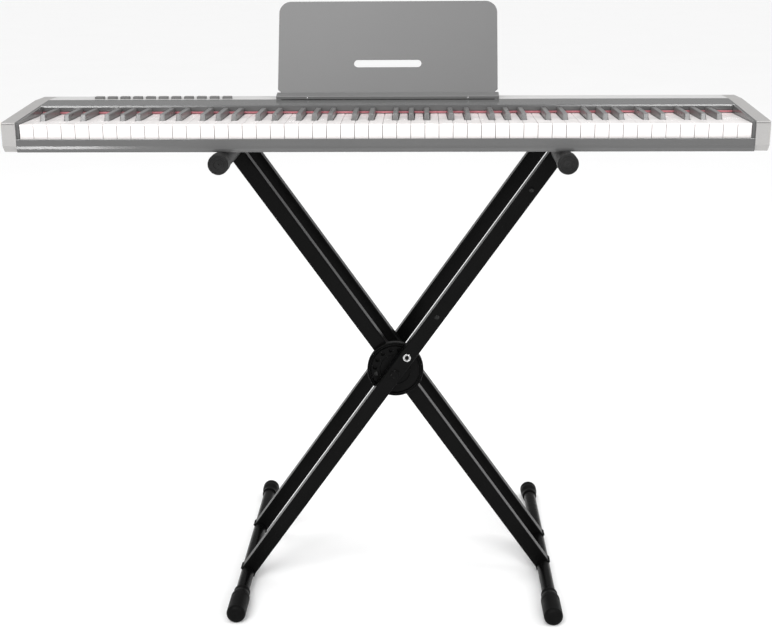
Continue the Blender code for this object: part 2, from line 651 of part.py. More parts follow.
def make_black_comb(index, notes, places, piano):
    """One octave's black keys. Shanks go down between the white tails to a bar below them."""
    name = f"black_keys_{index}"
    hinge = Vector((0, COMB_BACK + HINGE_BEHIND_COMB, KEY_TOP - HINGE_BELOW_TOP))
    foot = KEY_TOP - SHANK_DEPTH
    half = BLACK_WIDTH / 2
    lean_in = half - BLACK_TAPER
    shank_back = BLACK_BACK + SHANK_REACH
    bar_low = (places[notes[0]] - half, shank_back - BLACK_BAR.x, foot - 2 * MM)
    bar_high = (places[notes[-1]] + half, shank_back, foot - 2 * MM + BLACK_BAR.y)
    mesh = boxes(name, [(bar_low, bar_high)])
    mesh.transform(Matrix.Translation(-hinge))
    comb = add(name, mesh, KEY_BLACK, piano)
    comb.location = hinge

    shanks = []
    for note in notes:
        low = Vector((places[note] - lean_in, BLACK_BACK - CUT, foot))
        high = Vector((places[note] + lean_in, shank_back - 1 * MM, KEY_TOP - 1 * MM))
        shanks.append((low - hinge, high - hinge))
    boolean(comb, boxes("shanks", shanks), "UNION")

    caps = bmesh.new()
    low_z, high_z = KEY_TOP - BLACK_RISE, KEY_TOP + BLACK_RISE
    for note in notes:
        size = Vector((BLACK_WIDTH, BLACK_BACK - BLACK_FRONT, high_z - low_z))
        middle = Vector((places[note], (BLACK_FRONT + BLACK_BACK) / 2, (low_z + high_z) / 2))
        place = Matrix.Translation(middle - hinge) @ Matrix.Diagonal((*size, 1.0))
        made = bmesh.ops.create_cube(caps, size=1.0, matrix=place)["verts"]
        for vert in made:
            if vert.co.z < middle.z - hinge.z:
                continue
            vert.co.x += math.copysign(BLACK_TAPER, places[note] - vert.co.x)
            if vert.co.y < middle.y - hinge.y:
                vert.co.y += BLACK_RISE / 2
    boolean(comb, to_mesh("caps", caps), "UNION")


def make_keys(piano):
    """Seven combs of white keys and seven of black. The end combs take in the odd notes."""
    places = key_edges()
    octaves = [(LOWEST_NOTE, 35), (36, 47), (48, 59), (60, 71), (72, 83), (84, 95), (96, HIGHEST_NOTE)]
    for index, (low, high) in enumerate(octaves, 1):
        notes = range(low, high + 1)
        make_white_comb(index, [n for n in notes if not is_black(n)], places, piano)
        make_black_comb(index, [n for n in notes if is_black(n)], places, piano)


# ---- Insides ----
def make_insides(piano):
    middle_y = DECK_FRONT + DECK_DEPTH / 2
    magnet = SPEAKER_RADIUS / 2
    profile = [(0.0, -SPEAKER_HEIGHT), (magnet, -SPEAKER_HEIGHT), (magnet, SPEAKER_RIM - SPEAKER_HEIGHT)]
    profile += [(SPEAKER_RADIUS, -SPEAKER_RIM), (SPEAKER_RADIUS, 0.0), (0.0, 0.0)]
    for side, word in ((-1, "left"), (1, "right")):
        speaker = turned(f"speaker_{word}", profile, CONE_BLACK, piano)
        place = (side * (CAP_INSIDE_X - SPEAKER_FROM_CAP), middle_y - SPEAKER_BACK_GAP, SKIN + GAP)
        speaker.matrix_basis = Matrix.Translation(place)
    half = BOARD_SIZE / 2
    board = add("main_board", boxes("main_board", [(-half, half)]), BOARD_GREEN, piano)
    board.location = (button_places()[0].x + half.x, middle_y, REAR_HEIGHT - BOARD_DROP)
    half = INLET_SIZE / 2
    inlet = add("power_inlet", boxes("power_inlet", [(-half, half)]), CONE_BLACK, piano)
    inlet.location = (CAP_INSIDE_X - INLET_FROM_CAP, PIANO_DEPTH - GAP - half.y, REAR_HEIGHT / 2)
    boolean(inlet, rod("jack", INLET_BORE, -half.y + SKIN, half.y + CUT, sides=16))


def make_piano():
    piano = empty("piano", (0, PIANO_FRONT_Y, PIANO_BOTTOM_Z))
    make_casing(piano)
    make_fascia(piano)
    make_buttons(piano)
    make_music_rest(piano)
    make_keys(piano)
    make_insides(piano)


make_stand()
make_piano()
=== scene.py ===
# %% [markdown]
# # A slim digital piano on a folding X stand
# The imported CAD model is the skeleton: every part has its place, its size and the body that it moves
# with. This lesson gives each part the rounded edges, recesses, screws and finishes of the real thing.
# It reads the frame first and takes all positions from it, so nothing has to be fitted by eye.

# %% Load the frame
import json
import math

import bmesh
import bpy
from mathutils import Matrix, Vector


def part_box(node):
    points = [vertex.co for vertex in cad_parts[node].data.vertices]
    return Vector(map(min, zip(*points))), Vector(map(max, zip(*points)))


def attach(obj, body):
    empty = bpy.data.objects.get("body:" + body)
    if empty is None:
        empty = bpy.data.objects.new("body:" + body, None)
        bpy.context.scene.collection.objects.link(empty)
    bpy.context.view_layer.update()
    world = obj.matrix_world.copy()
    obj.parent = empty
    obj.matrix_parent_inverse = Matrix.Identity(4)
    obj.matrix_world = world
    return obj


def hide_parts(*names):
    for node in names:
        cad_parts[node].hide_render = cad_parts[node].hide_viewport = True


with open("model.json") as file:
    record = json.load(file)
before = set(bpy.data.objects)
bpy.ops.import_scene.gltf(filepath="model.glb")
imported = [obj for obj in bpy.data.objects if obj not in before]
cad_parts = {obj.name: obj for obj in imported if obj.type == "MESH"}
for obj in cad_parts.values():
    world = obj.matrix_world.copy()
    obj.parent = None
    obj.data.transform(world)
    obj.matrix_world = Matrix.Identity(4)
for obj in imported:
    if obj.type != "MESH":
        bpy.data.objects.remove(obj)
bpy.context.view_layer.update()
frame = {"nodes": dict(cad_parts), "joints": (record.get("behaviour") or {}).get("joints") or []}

MM = 0.001


def mm(*points):
    """Points that are written in millimetres, in metres."""
    return [tuple(value * MM for value in point) for point in points]


def new_object(name, data):
    """An object for some data, linked into the scene."""
    made = bpy.data.objects.new(name, data)
    bpy.context.scene.collection.objects.link(made)
    return made


def worked_out(made):
    """The object's mesh as it is with its modifiers."""
    graph = bpy.context.evaluated_depsgraph_get()
    return bpy.data.meshes.new_from_object(made.evaluated_get(graph))


# %% [markdown]
# ## Sizes
# A node's box says where it lies. The stand's pivot is the place of the folding joint, and each leg's
# lean follows from where the arm's tube lies, seen from that pivot.

# %% Read the sizes that the pieces share
JOINTS = {joint["name"]: joint for joint in frame["joints"]}
PIVOT = Vector(JOINTS["frame_b_fold"]["pos_m"])


def middle(node):
    low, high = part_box(node)
    return (low + high) / 2


def extent(node):
    low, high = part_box(node)
    return high - low


ARM = middle("arm_tube_right") - PIVOT
SPREAD = math.atan2(ARM.x, ARM.z)
REACH = math.hypot(ARM.x, ARM.z)
TUBE_RADIUS = extent("base_tube_left").x / 2
LEG_FACE = 28 * MM
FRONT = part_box("front_rail")[0].y
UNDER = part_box("front_rail")[0].z
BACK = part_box("rear_deck")[1].y
DECK_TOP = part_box("rear_deck")[1].z
RIM_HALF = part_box("front_rail")[1].x
print("pivot", tuple(PIVOT), "lean", round(math.degrees(SPREAD), 2), "reach", round(REACH, 4))

# %% [markdown]
# ## Camera
# A long lens, a little above the keys and right of the middle, looking down at the stand. A camera's
# own axes are the columns of its matrix: right, up, and backwards.

# %% Place the camera
CAMERA_PLACE = Vector((0.06414, -2.2588, 1.16758))
CAMERA_TILT, CAMERA_YAW, CAMERA_ROLL = (math.radians(a) for a in (16.4005, 1.69393, 0.35743))
CAMERA_LENS, SENSOR_WIDTH = 57.05, 36.0


def camera_matrix():
    level_right = Vector((math.cos(CAMERA_YAW), math.sin(CAMERA_YAW), 0))
    level_ahead = Vector((-math.sin(CAMERA_YAW), math.cos(CAMERA_YAW), 0))
    upward = Vector((0, 0, 1))
    ahead = level_ahead * math.cos(CAMERA_TILT) - upward * math.sin(CAMERA_TILT)
    level_up = upward * math.cos(CAMERA_TILT) + level_ahead * math.sin(CAMERA_TILT)
    right = level_right * math.cos(CAMERA_ROLL) - level_up * math.sin(CAMERA_ROLL)
    up = level_right * math.sin(CAMERA_ROLL) + level_up * math.cos(CAMERA_ROLL)
    turn = Matrix((right, up, -ahead)).transposed().to_4x4()
    return Matrix.Translation(CAMERA_PLACE) @ turn


lens = bpy.data.cameras.new("studio_camera")
lens.lens, lens.sensor_width = CAMERA_LENS, SENSOR_WIDTH
lens.clip_start, lens.clip_end = 0.05, 200.0
camera = new_object("studio_camera", lens)
camera.matrix_world = camera_matrix()
bpy.context.scene.camera = camera
print("camera at", tuple(camera.location))

# %% [markdown]
# ## Writing node trees as sums
# A shader is easier to read as an expression than as a list of links. `Wire` wraps a socket, and the
# signs +, - and * on it add Math nodes. `Recipe.node` makes any other node from its type, its
# settings and its sockets' values. The same class builds the Geometry Nodes trees further down.


# %% The socket class and the node method
class Wire:
    """One output socket, which can be used in a sum."""

    def __init__(self, recipe, socket):
        self.recipe, self.socket = recipe, socket

    def sum(self, operation, left, right, clamp=False):
        settings = {"operation": operation, "use_clamp": clamp}
        return self.recipe.node(self.recipe.math, settings, {0: left, 1: right})

    def __add__(self, other):
        return self.sum("ADD", self, other)

    def __radd__(self, other):
        return self.sum("ADD", other, self)

    def __sub__(self, other):
        return self.sum("SUBTRACT", self, other)

    def __rsub__(self, other):
        return self.sum("SUBTRACT", other, self)

    def __mul__(self, other):
        return self.sum("MULTIPLY", self, other)

    def __rmul__(self, other):
        return self.sum("MULTIPLY", other, self)

    def above(self, low, high):
        """0 below low, 1 above high, and a straight ramp between."""
        scaled = (self - low) * (1 / (high - low))
        return self.sum("ADD", scaled, 0.0, clamp=True)


class Recipe:
    """A node tree, filled one node at a time."""

    math = "ShaderNodeMath"

    def __init__(self, tree):
        self.tree = tree

    def node(self, kind, settings=None, sockets=None, out=0):
        made = self.tree.nodes.new(kind)
        for key, value in (settings or {}).items():
            setattr(made, key, value)
        for key, value in (sockets or {}).items():
            for item in value if isinstance(value, list) else [value]:
                if isinstance(item, Wire):
                    self.tree.links.new(item.socket, made.inputs[key])
                else:
                    made.inputs[key].default_value = item
        return Wire(self, made.outputs[out])


print("node helpers ready")


# %% [markdown]
# ## Finishes
# Every finish starts from the same questions. How does its colour wander, how fine is its grain, how
# does the gloss change, and what shows where an edge is rubbed? `Finish` holds the answers' tools:
# noise at a real scale in metres, an edge mask from the Bevel node, and one call that wires the
# Principled shader. A number that is the same all over goes straight on the shader's own socket.


# %% The finish class
class Finish(Recipe):
    def __init__(self, name):
        self.material = bpy.data.materials.new(name)
        self.material.use_nodes = True
        super().__init__(self.material.node_tree)
        self.shader = self.tree.nodes["Principled BSDF"]
        self.place = self.node("ShaderNodeTexCoord", out="Object")

    def grain(self, size, detail=3.0, stretch=(1, 1, 1), rough=0.55):
        """Noise from 0 to 1, whose lumps are about size metres across."""
        scale = tuple(s / size for s in stretch)
        spot = self.node("ShaderNodeMapping", None, {"Vector": self.place, "Scale": scale})
        sockets = {"Vector": spot, "Scale": 1.0, "Detail": detail, "Roughness": rough}
        return self.node("ShaderNodeTexNoise", None, sockets)

    def flakes(self, size):
        """A random level from 0 to 1 for each tiny cell, as in metallic paint."""
        sockets = {"Vector": self.place, "Scale": 1 / size}
        cell = self.node("ShaderNodeTexVoronoi", {"feature": "F1"}, sockets, out="Color")
        return self.node("ShaderNodeSeparateColor", None, {"Color": cell})

    def rubbed(self, radius=1.2 * MM):
        """1 on outer edges and corners, 0 on flat and smooth surface."""
        soft = self.node("ShaderNodeBevel", {"samples": 4}, {"Radius": radius})
        hard = self.node("ShaderNodeNewGeometry", out="Normal")
        dot = {"operation": "DOT_PRODUCT"}
        likeness = self.node("ShaderNodeVectorMath", dot, {0: soft, 1: hard}, "Value")
        return (1 - likeness).above(0.03, 0.25)

    def mix(self, share, first, second):
        first, second = ((*c, 1.0) if isinstance(c, tuple) else c for c in (first, second))
        return self.node("ShaderNodeMix", {"data_type": "RGBA"}, {0: share, 6: first, 7: second}, 2)

    def coat(self, colour, roughness, height=None, depth=0.0, **fixed):
        """Wires the shader. Height with its depth in metres is the bump; fixed values stay plain."""
        fixed.update(Base_Color=colour, Roughness=roughness)
        if height is not None:
            sockets = {"Strength": 1.0, "Distance": depth, "Height": height}
            fixed["Normal"] = self.node("ShaderNodeBump", None, sockets)
        for key, value in fixed.items():
            socket = self.shader.inputs[key.replace("_", " ")]
            if isinstance(value, Wire):
                self.tree.links.new(value.socket, socket)
            else:
                socket.default_value = value
        return self.material


def grey(level, warm=0.0):
    return (level * (1 + warm), level, level * (1 - warm))


print("finish class ready")

# %% [markdown]
# ### Moulded plastics
# The casing, the end caps, the deck, the rest and the buttons are all moulded, but not alike. The
# casing has a fine spark-eroded grain. The caps and deck are sprayed with a paint that holds tiny
# flakes, which sparkle a little. The rest is smoother, and the buttons are matt.


# %% Mix the plastics
SHADES = 0.3


def moulded(name, level, warm, roughness, grain_size, depth, wander=0.05, **fixed):
    mix = Finish(name)
    cloud = mix.grain(0.11, 3.0)
    skin = mix.grain(grain_size, 2.0)
    lift = mix.rubbed(0.9 * MM)
    shade = (cloud - 0.5) * wander * 2 + (skin - 0.5) * wander + lift * 0.12
    colour = mix.mix(shade.above(-SHADES, SHADES), grey(level * 0.72, warm), grey(level * 1.28, warm))
    gloss = roughness * (1 + (cloud - 0.5) * 0.4 + (skin - 0.5) * 0.3)
    return mix.coat(colour, gloss, skin, depth, **fixed)


def flaked(name, level, warm, roughness):
    mix = Finish(name)
    sparkle, cloud, peel = mix.flakes(0.35 * MM), mix.grain(0.09), mix.grain(2.2 * MM, 2.0)
    lift = mix.rubbed(0.9 * MM)
    shade = (sparkle - 0.5) * 0.16 + (cloud - 0.5) * 0.12 + lift * 0.1
    colour = mix.mix(shade.above(-SHADES, SHADES), grey(level * 0.74, warm), grey(level * 1.26, warm))
    gloss = roughness + (sparkle - 0.5) * 0.14 + (cloud - 0.5) * 0.1
    return mix.coat(colour, gloss, peel, 0.012 * MM, Metallic=0.18)


SHELL_GREY = moulded("shell_grey_grained", 0.1, 0.0, 0.15, 0.7 * MM, 0.0008 * MM)
CAP_SILVER = flaked("cap_silver_paint", 0.35, 0.018, 0.36)
DECK_SILVER = flaked("deck_silver_paint", 0.55, 0.004, 0.42)
REST_GREY = moulded("rest_grey_satin", 0.125, 0.0, 0.34, 1.1 * MM, 0.008 * MM, 0.04)
BUTTON_DARK = moulded("button_dark_matt", 0.13, 0.01, 0.5, 0.5 * MM, 0.01 * MM, 0.06)
SOCKET_BLACK = moulded("socket_black_matt", 0.018, 0.0, 0.55, 0.5 * MM, 0.01 * MM, 0.06)
print("plastics", [m.name for m in bpy.data.materials][-6:])

# %% [markdown]
# ### Keys and felt
# White keys are glossy acrylic, very slightly ivory, with fine wipe marks that run along the key.
# Black keys are satin, with a lengthwise grain that copies ebony. The felt behind them is a red
# strip of tangled fibres, so its colour breaks up at a small scale and it shows a soft sheen.


# %% Mix the key and felt finishes
def key_finish(name, dark, light, roughness, depth, shine=0.5):
    mix = Finish(name)
    wipes = mix.grain(1.3 * MM, 4.0, (1, 0.06, 1))
    cloud = mix.grain(0.035, 2.0)
    colour = mix.mix(((wipes - 0.5) * 0.5 + cloud).above(0.1, 0.9), dark, light)
    gloss = roughness + (cloud - 0.5) * 0.16 + (wipes - 0.5) * 0.1
    return mix.coat(colour, gloss, wipes, depth, Specular_IOR_Level=shine)


def felt_finish(name):
    mix = Finish(name)
    fibres, clumps = mix.grain(0.45 * MM, 5.0, (1, 0.5, 0.5), 0.75), mix.grain(5 * MM, 2.0)
    share = (fibres * 0.7 + clumps * 0.3).above(0.3, 0.7)
    colour = mix.mix(share, (0.32, 0.08, 0.1), (0.6, 0.24, 0.27))
    return mix.coat(colour, 0.95, fibres, 0.35 * MM, Sheen_Weight=0.4, Sheen_Roughness=0.5)


KEY_WHITE = key_finish("key_white_acrylic", (0.74, 0.71, 0.7), (0.82, 0.79, 0.785), 0.24, 0.004 * MM)
KEY_BLACK = key_finish("key_black_satin", (0.09, 0.09, 0.09), (0.15, 0.148, 0.147), 0.3, 0.004 * MM, 0.75)
FELT_RED = felt_finish("felt_red_fibres")
print("key finishes ready")

# %% [markdown]
# ### Stand finishes
# The steel is powder coated: black, semi-gloss, with the shallow orange peel of baked powder, and
# bare steel in a few nicks along its edges. Rubber is softer and greyer, with a bloom of dust. The
# lock pin is chrome plated, and the small screws are blackened.


# %% Mix the metal and rubber finishes
def powder_coat(name):
    mix = Finish(name)
    peel, cloud, nicks = mix.grain(1.6 * MM, 2.0), mix.grain(0.06, 3.0), mix.grain(4 * MM, 4.0)
    worn = mix.rubbed(1.0 * MM) * nicks.above(0.6, 0.68)
    paint = mix.mix(cloud, grey(0.0015), grey(0.004))
    colour = mix.mix(worn, paint, grey(0.3))
    gloss = 0.28 + (cloud - 0.5) * 0.14 + (peel - 0.5) * 0.08
    return mix.coat(colour, gloss, peel, 0.03 * MM, Metallic=worn * 0.9, Specular_IOR_Level=0.055)


def rubber(name, level, shine):
    mix = Finish(name)
    skin, dust = mix.grain(0.8 * MM, 4.0, rough=0.7), mix.grain(0.02, 4.0, rough=0.65)
    bloom = dust.above(0.4, 0.8) * 0.5 + mix.rubbed(1.5 * MM) * 0.5
    colour = mix.mix(bloom, grey(level * 0.3), grey(level * 1.6, 0.01))
    return mix.coat(colour, 0.5 + (dust - 0.5) * 0.3, skin, 0.05 * MM, Specular_IOR_Level=shine)


def plated(name, level, roughness):
    mix = Finish(name)
    scratches, cloud = mix.grain(0.5 * MM, 5.0, (1, 1, 0.1)), mix.grain(6 * MM, 3.0)
    colour = mix.mix(cloud, grey(level * 0.8), grey(level))
    gloss = roughness + (cloud - 0.5) * 0.1 + (scratches - 0.5) * 0.1
    return mix.coat(colour, gloss, scratches, 0.004 * MM, Metallic=1.0)


STAND_BLACK = powder_coat("stand_black_powder")
RUBBER_BLACK = rubber("rubber_black_moulded", 0.016, 0.2)
FOOT_BLACK = rubber("rubber_black_foot", 0.004, 0.08)
CHROME = plated("chrome_plate", 0.55, 0.1)
SCREW_BLACK = plated("screw_black_oxide", 0.035, 0.34)
print("stand finishes ready")

# %% [markdown]
# ### Finishes that hardly show
# The circuit board and the speakers sit inside the casing. They keep their CAD shapes, and get a
# board green with copper tracks under the lacquer, and the soot black of a pressed paper cone.


# %% Mix the inside finishes
def board_finish(name):
    mix = Finish(name)
    sockets = {"Vector": mix.place, "Scale": 90.0, "Distortion": 5.0, "Detail": 1.0}
    tracks = mix.node("ShaderNodeTexWave", {"bands_direction": "X"}, sockets)
    colour = mix.mix(tracks.above(0.75, 0.85), (0.01, 0.11, 0.04), (0.06, 0.26, 0.1))
    return mix.coat(colour, 0.4 + mix.grain(2 * MM) * 0.2, tracks, 0.03 * MM)


BOARD_GREEN = board_finish("board_green_lacquer")
CONE_BLACK = moulded("cone_black_paper", 0.02, 0.0, 0.75, 1.4 * MM, 0.08 * MM, 0.1)
INSIDE = {"speaker_left": CONE_BLACK, "speaker_right": CONE_BLACK, "main_board": BOARD_GREEN}
for node, coat in INSIDE.items():
    frame["nodes"][node].data.materials[0] = coat
print("inside finishes on", ", ".join(INSIDE))

# %% [markdown]
# ## Mesh tools
# A few tools make nearly every piece. `skin` joins rings of points into a closed body. `bar` runs a
# side outline along the piano, `plate` raises a flat one, and `block` is a plain box. `turn` spins a
# profile, for anything round. `soften` rounds chosen edges. `piece` then cleans the mesh, shades it
# by angle, gives it its finish and hands it to the body that it moves with.


# %% Outlines and closed skins
def rounded(corners, steps=4):
    """A closed outline in 2D whose corners are given as (a, b, radius)."""
    outline = []
    for i, (a, b, radius) in enumerate(corners):
        here = Vector((a, b))
        if radius <= 0:
            outline.append(here)
            continue
        back = (Vector(corners[i - 1][:2]) - here).normalized()
        on = (Vector(corners[(i + 1) % len(corners)][:2]) - here).normalized()
        half = back.angle(on) / 2
        centre = here + (back + on).normalized() * radius / math.sin(half)
        start, end = (here + way * radius / math.tan(half) - centre for way in (back, on))
        swing = start.angle(end)
        for k in range(steps + 1):
            share = k / steps
            arm = start * math.sin((1 - share) * swing) + end * math.sin(share * swing)
            outline.append(centre + arm / math.sin(swing))
    return outline


def oblong(low, high, radius, steps=4):
    """A rectangle from corner to corner in 2D, with four round corners."""
    (a, b), (c, d) = low, high
    return rounded([(a, b, radius), (c, b, radius), (c, d, radius), (a, d, radius)], steps)


def skin(shape, rings):
    """Joins rings of points, all of one length, and caps the two ends."""
    loops = [[shape.verts.new(point) for point in ring] for ring in rings]
    count = len(loops[0])
    for low, high in zip(loops, loops[1:]):
        for i in range(count):
            j = (i + 1) % count
            shape.faces.new((low[i], low[j], high[j], high[i]))
    shape.faces.new(reversed(loops[0]))
    shape.faces.new(loops[-1])
    return loops


def soften(shape, edges, width, steps=2):
    found = [edge for edge in edges if edge.is_valid]
    bmesh.ops.bevel(
        shape, geom=found, offset=width, offset_type="OFFSET", segments=steps,
        profile=0.5, affect="EDGES", clamp_overlap=True,
    )


print("skin tools ready")


# %% Bars, plates and turned bodies
def ring_edges(loop):
    """The edges that join one loop's points in turn."""
    found = []
    for here, there in zip(loop, loop[1:] + loop[:1]):
        found += [edge for edge in here.link_edges if edge.other_vert(here) == there]
    return found


def bar(shape, outline, low, high, edge=0.0, steps=2):
    """A (y, z) outline run along X from low to high, with its end edges rounded."""
    loops = skin(shape, [[(x, p[0], p[1]) for p in outline] for x in (low, high)])
    if edge:
        soften(shape, ring_edges(loops[0]) + ring_edges(loops[1]), edge, steps)


def plate(shape, outline, low, high, top=0.0, bottom=0.0, steps=2, corners=0.0):
    """An (x, y) outline raised from z = low to z = high, with its top, bottom or upright edges rounded."""
    loops = skin(shape, [[(p[0], p[1], z) for p in outline] for z in (low, high)])
    rims = (ring_edges(loops[0]) if bottom else []) + (ring_edges(loops[1]) if top else [])
    if corners:
        for here in loops[0]:
            rims += [edge for edge in here.link_edges if edge.other_vert(here) in loops[1]]
    if rims:
        soften(shape, rims, max(top, bottom, corners), steps)


def block(shape, low, high, edge=0.0, steps=2):
    """A box from its low to its high corner, with all its edges rounded."""
    outline = [(low[0], low[1]), (high[0], low[1]), (high[0], high[1]), (low[0], high[1])]
    plate(shape, outline, low[2], high[2], edge, edge, steps, edge)


def turn(shape, profile, place, heading=1, sides=48):
    """Spins a profile of (radius, depth) about a line along Y. Depth runs backwards for heading 1."""
    place = Vector(place)
    rings = []
    for radius, depth in profile:
        spot = place + Vector((0, depth * heading, 0))
        if radius < 1e-7:
            rings.append([shape.verts.new(spot)])
            continue
        angles = (2 * math.pi * i / sides for i in range(sides))
        ways = (Vector((math.sin(a), 0, math.cos(a))) for a in angles)
        rings.append([shape.verts.new(spot + way * radius) for way in ways])
    open_ends = len(rings[0]) > 1 and len(rings[-1]) > 1
    for low, high in list(zip(rings, rings[1:])) + ([(rings[-1], rings[0])] if open_ends else []):
        for i in range(sides):
            j = (i + 1) % sides
            corner = [low[i % len(low)], low[j % len(low)], high[j % len(high)], high[i % len(high)]]
            unique = [v for k, v in enumerate(corner) if v not in corner[:k]]
            if len(unique) > 2:
                shape.faces.new(unique)


def arc(centre, radius, start, end, steps=5):
    """Points of a profile's rounded corner, with angles in degrees."""
    found = []
    for k in range(steps + 1):
        a = math.radians(start + (end - start) * k / steps)
        found.append((centre[0] + radius * math.cos(a), centre[1] + radius * math.sin(a)))
    return found


print("bar, plate, block and turn ready")


# %% Finish a piece and hand it to its body
SHARP, CRISP = math.radians(34), math.radians(9)
MERGE = 1e-6


def cleaned(shape, name):
    bmesh.ops.remove_doubles(shape, verts=shape.verts, dist=MERGE)
    bmesh.ops.recalc_face_normals(shape, faces=shape.faces)
    mesh = bpy.data.meshes.new(name)
    shape.to_mesh(mesh)
    shape.free()
    return mesh


def even_shading(made):
    """Lets the big flat faces set the shading, so that narrow rounded edges don't bend it."""
    step = made.modifiers.new("even", "WEIGHTED_NORMAL")
    step.mode, step.weight, step.keep_sharp = "FACE_AREA", 100, True
    evened = worked_out(made)
    made.modifiers.clear()
    made.data = evened
    evened.name = made.name


def piece(name, mesh, coat, body, nodes=(), sharp=SHARP):
    """Makes the object, rides it on its body and lets it stand for its CAD nodes."""
    if isinstance(mesh, bmesh.types.BMesh):
        mesh = cleaned(mesh, name)
    mesh.name = name
    mesh.materials.clear()
    mesh.materials.append(coat)
    mesh.polygons.foreach_set("use_smooth", [True] * len(mesh.polygons))
    mesh.set_sharp_from_angle(angle=sharp)
    made = new_object(name, mesh)
    even_shading(made)
    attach(made, body)
    if nodes:
        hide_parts(*nodes)
    print(name, "rides on", body)


def cut(mesh, cutter):
    """Takes the cutter bmesh out of a mesh, with an exact Boolean, and returns the plain result."""
    pair = [new_object("cut", m) for m in (mesh, cleaned(cutter, "cutter"))]
    step = pair[0].modifiers.new("cut", "BOOLEAN")
    step.object, step.solver = pair[1], "EXACT"
    result = worked_out(pair[0])
    for made in pair:
        bpy.data.objects.remove(made, do_unlink=True)
    return result


print("piece maker ready")

# %% [markdown]
# ## Geometry Nodes tools
# What repeats is grown by a node tree from a few seed points: screws, weld beads, the row of black
# keys and the vents under the speakers. `Grower` builds a tree with named inputs, and `grow` sets
# those inputs by their identifiers, evaluates the tree once and keeps only the plain mesh.


# %% The tree builder
class Grower(Recipe):
    def __init__(self, name, inputs):
        tree = bpy.data.node_groups.new(name, "GeometryNodeTree")
        super().__init__(tree)
        for label, kind in {"Geometry": "Geometry", **inputs}.items():
            tree.interface.new_socket(label, in_out="INPUT", socket_type=f"NodeSocket{kind}")
        tree.interface.new_socket("Geometry", in_out="OUTPUT", socket_type="NodeSocketGeometry")
        self.way_in = tree.nodes.new("NodeGroupInput")

    def given(self, label):
        return Wire(self, self.way_in.outputs[label])

    def end(self, shape):
        """Real geometry, with its material, and nothing instanced."""
        solid = self.node("GeometryNodeRealizeInstances", None, {"Geometry": shape})
        sockets = {"Geometry": solid, "Material": self.given("Finish")}
        coated = self.node("GeometryNodeSetMaterial", None, sockets)
        way_out = self.tree.nodes.new("NodeGroupOutput")
        self.tree.links.new(coated.socket, way_out.inputs["Geometry"])
        return self.tree


def grow(tree, seed, **values):
    """Runs a tree on a seed mesh and returns the result as a plain mesh."""
    made = new_object("seed", seed)
    step = made.modifiers.new("grow", "NODES")
    step.node_group = tree
    for item in tree.interface.items_tree:
        if item.in_out == "INPUT" and item.name in values:
            step[item.identifier] = values[item.name]
    result = worked_out(made)
    bpy.data.objects.remove(made, do_unlink=True)
    return result


def seeds(points, links=(), aims=None):
    """A mesh of bare points, with the edges between them and the way that each one faces."""
    mesh = bpy.data.meshes.new("seeds")
    mesh.from_pydata([tuple(p) for p in points], list(links), [])
    if aims:
        aim = mesh.attributes.new("aim", "FLOAT_VECTOR", "POINT")
        aim.data.foreach_set("vector", [c for a in aims for c in a])
    return mesh


print("grower ready")


# %% [markdown]
# ### Cross-head screws
# A small screw's head is a low dome with a cross pressed into it. The tree makes one head from a
# cone whose top is cut by two crossed blades, and sets it on every seed point, facing its way.


# %% The screw tree
CROSS_REACH, CROSS_SLOT = 1.25, 0.26


def screw_tree():
    sizes = {"Radius": "Float", "Height": "Float", "Finish": "Material"}
    g = Grower("cross_head_screws", sizes)
    radius, height = g.given("Radius"), g.given("Height")
    cone = {"Vertices": 24, "Side Segments": 2, "Radius Top": radius * 0.62, "Radius Bottom": radius}
    head = g.node("GeometryNodeMeshCone", {"fill_type": "NGON"}, {**cone, "Depth": height})
    blades = []
    for across, along in ((CROSS_REACH, CROSS_SLOT), (CROSS_SLOT, CROSS_REACH)):
        sides = {"X": radius * across, "Y": radius * along, "Z": height}
        size = g.node("ShaderNodeCombineXYZ", None, sides)
        blade = g.node("GeometryNodeMeshCube", None, {"Size": size})
        lift = g.node("ShaderNodeCombineXYZ", None, {"Z": height * 0.9})
        blades.append(g.node("GeometryNodeTransform", None, {"Geometry": blade, "Translation": lift}))
    settings = {"operation": "DIFFERENCE", "solver": "EXACT"}
    cross = g.node("GeometryNodeMeshBoolean", settings, {"Mesh 1": head, "Mesh 2": blades})
    way = g.node("GeometryNodeInputNamedAttribute", {"data_type": "FLOAT_VECTOR"}, {"Name": "aim"})
    turned = g.node("FunctionNodeAlignRotationToVector", {"axis": "Z"}, {"Vector": way})
    spots = {"Points": g.given("Geometry"), "Instance": cross, "Rotation": turned}
    return g.end(g.node("GeometryNodeInstanceOnPoints", None, spots))


SCREW_TREE = screw_tree()
print("screw tree", len(SCREW_TREE.nodes), "nodes")


# %% [markdown]
# ### Weld beads
# The legs are welded to the base tubes. A weld is a chain of small frozen puddles, so the tree runs a
# round section along the joint and swells it a little again and again.


# %% The weld tree
def weld_tree():
    sizes = {"Radius": "Float", "Step": "Float", "Ripple": "Float", "Finish": "Material"}
    g = Grower("weld_beads", sizes)
    path = g.node("GeometryNodeMeshToCurve", None, {"Mesh": g.given("Geometry")})
    even = {"Curve": path, "Length": g.given("Step")}
    path = g.node("GeometryNodeResampleCurve", {"mode": "LENGTH"}, even)
    count = g.node("GeometryNodeInputIndex")
    wave = g.node("ShaderNodeMath", {"operation": "SINE"}, {0: count * 1.6})
    width = {"Curve": path, "Radius": 1 + wave * g.given("Ripple")}
    path = g.node("GeometryNodeSetCurveRadius", None, width)
    circle = {"Resolution": 8, "Radius": g.given("Radius")}
    section = g.node("GeometryNodeCurvePrimitiveCircle", None, circle)
    bead = {"Curve": path, "Profile Curve": section}
    return g.end(g.node("GeometryNodeCurveToMesh", None, bead))


WELD_TREE = weld_tree()
print("weld tree", len(WELD_TREE.nodes), "nodes")

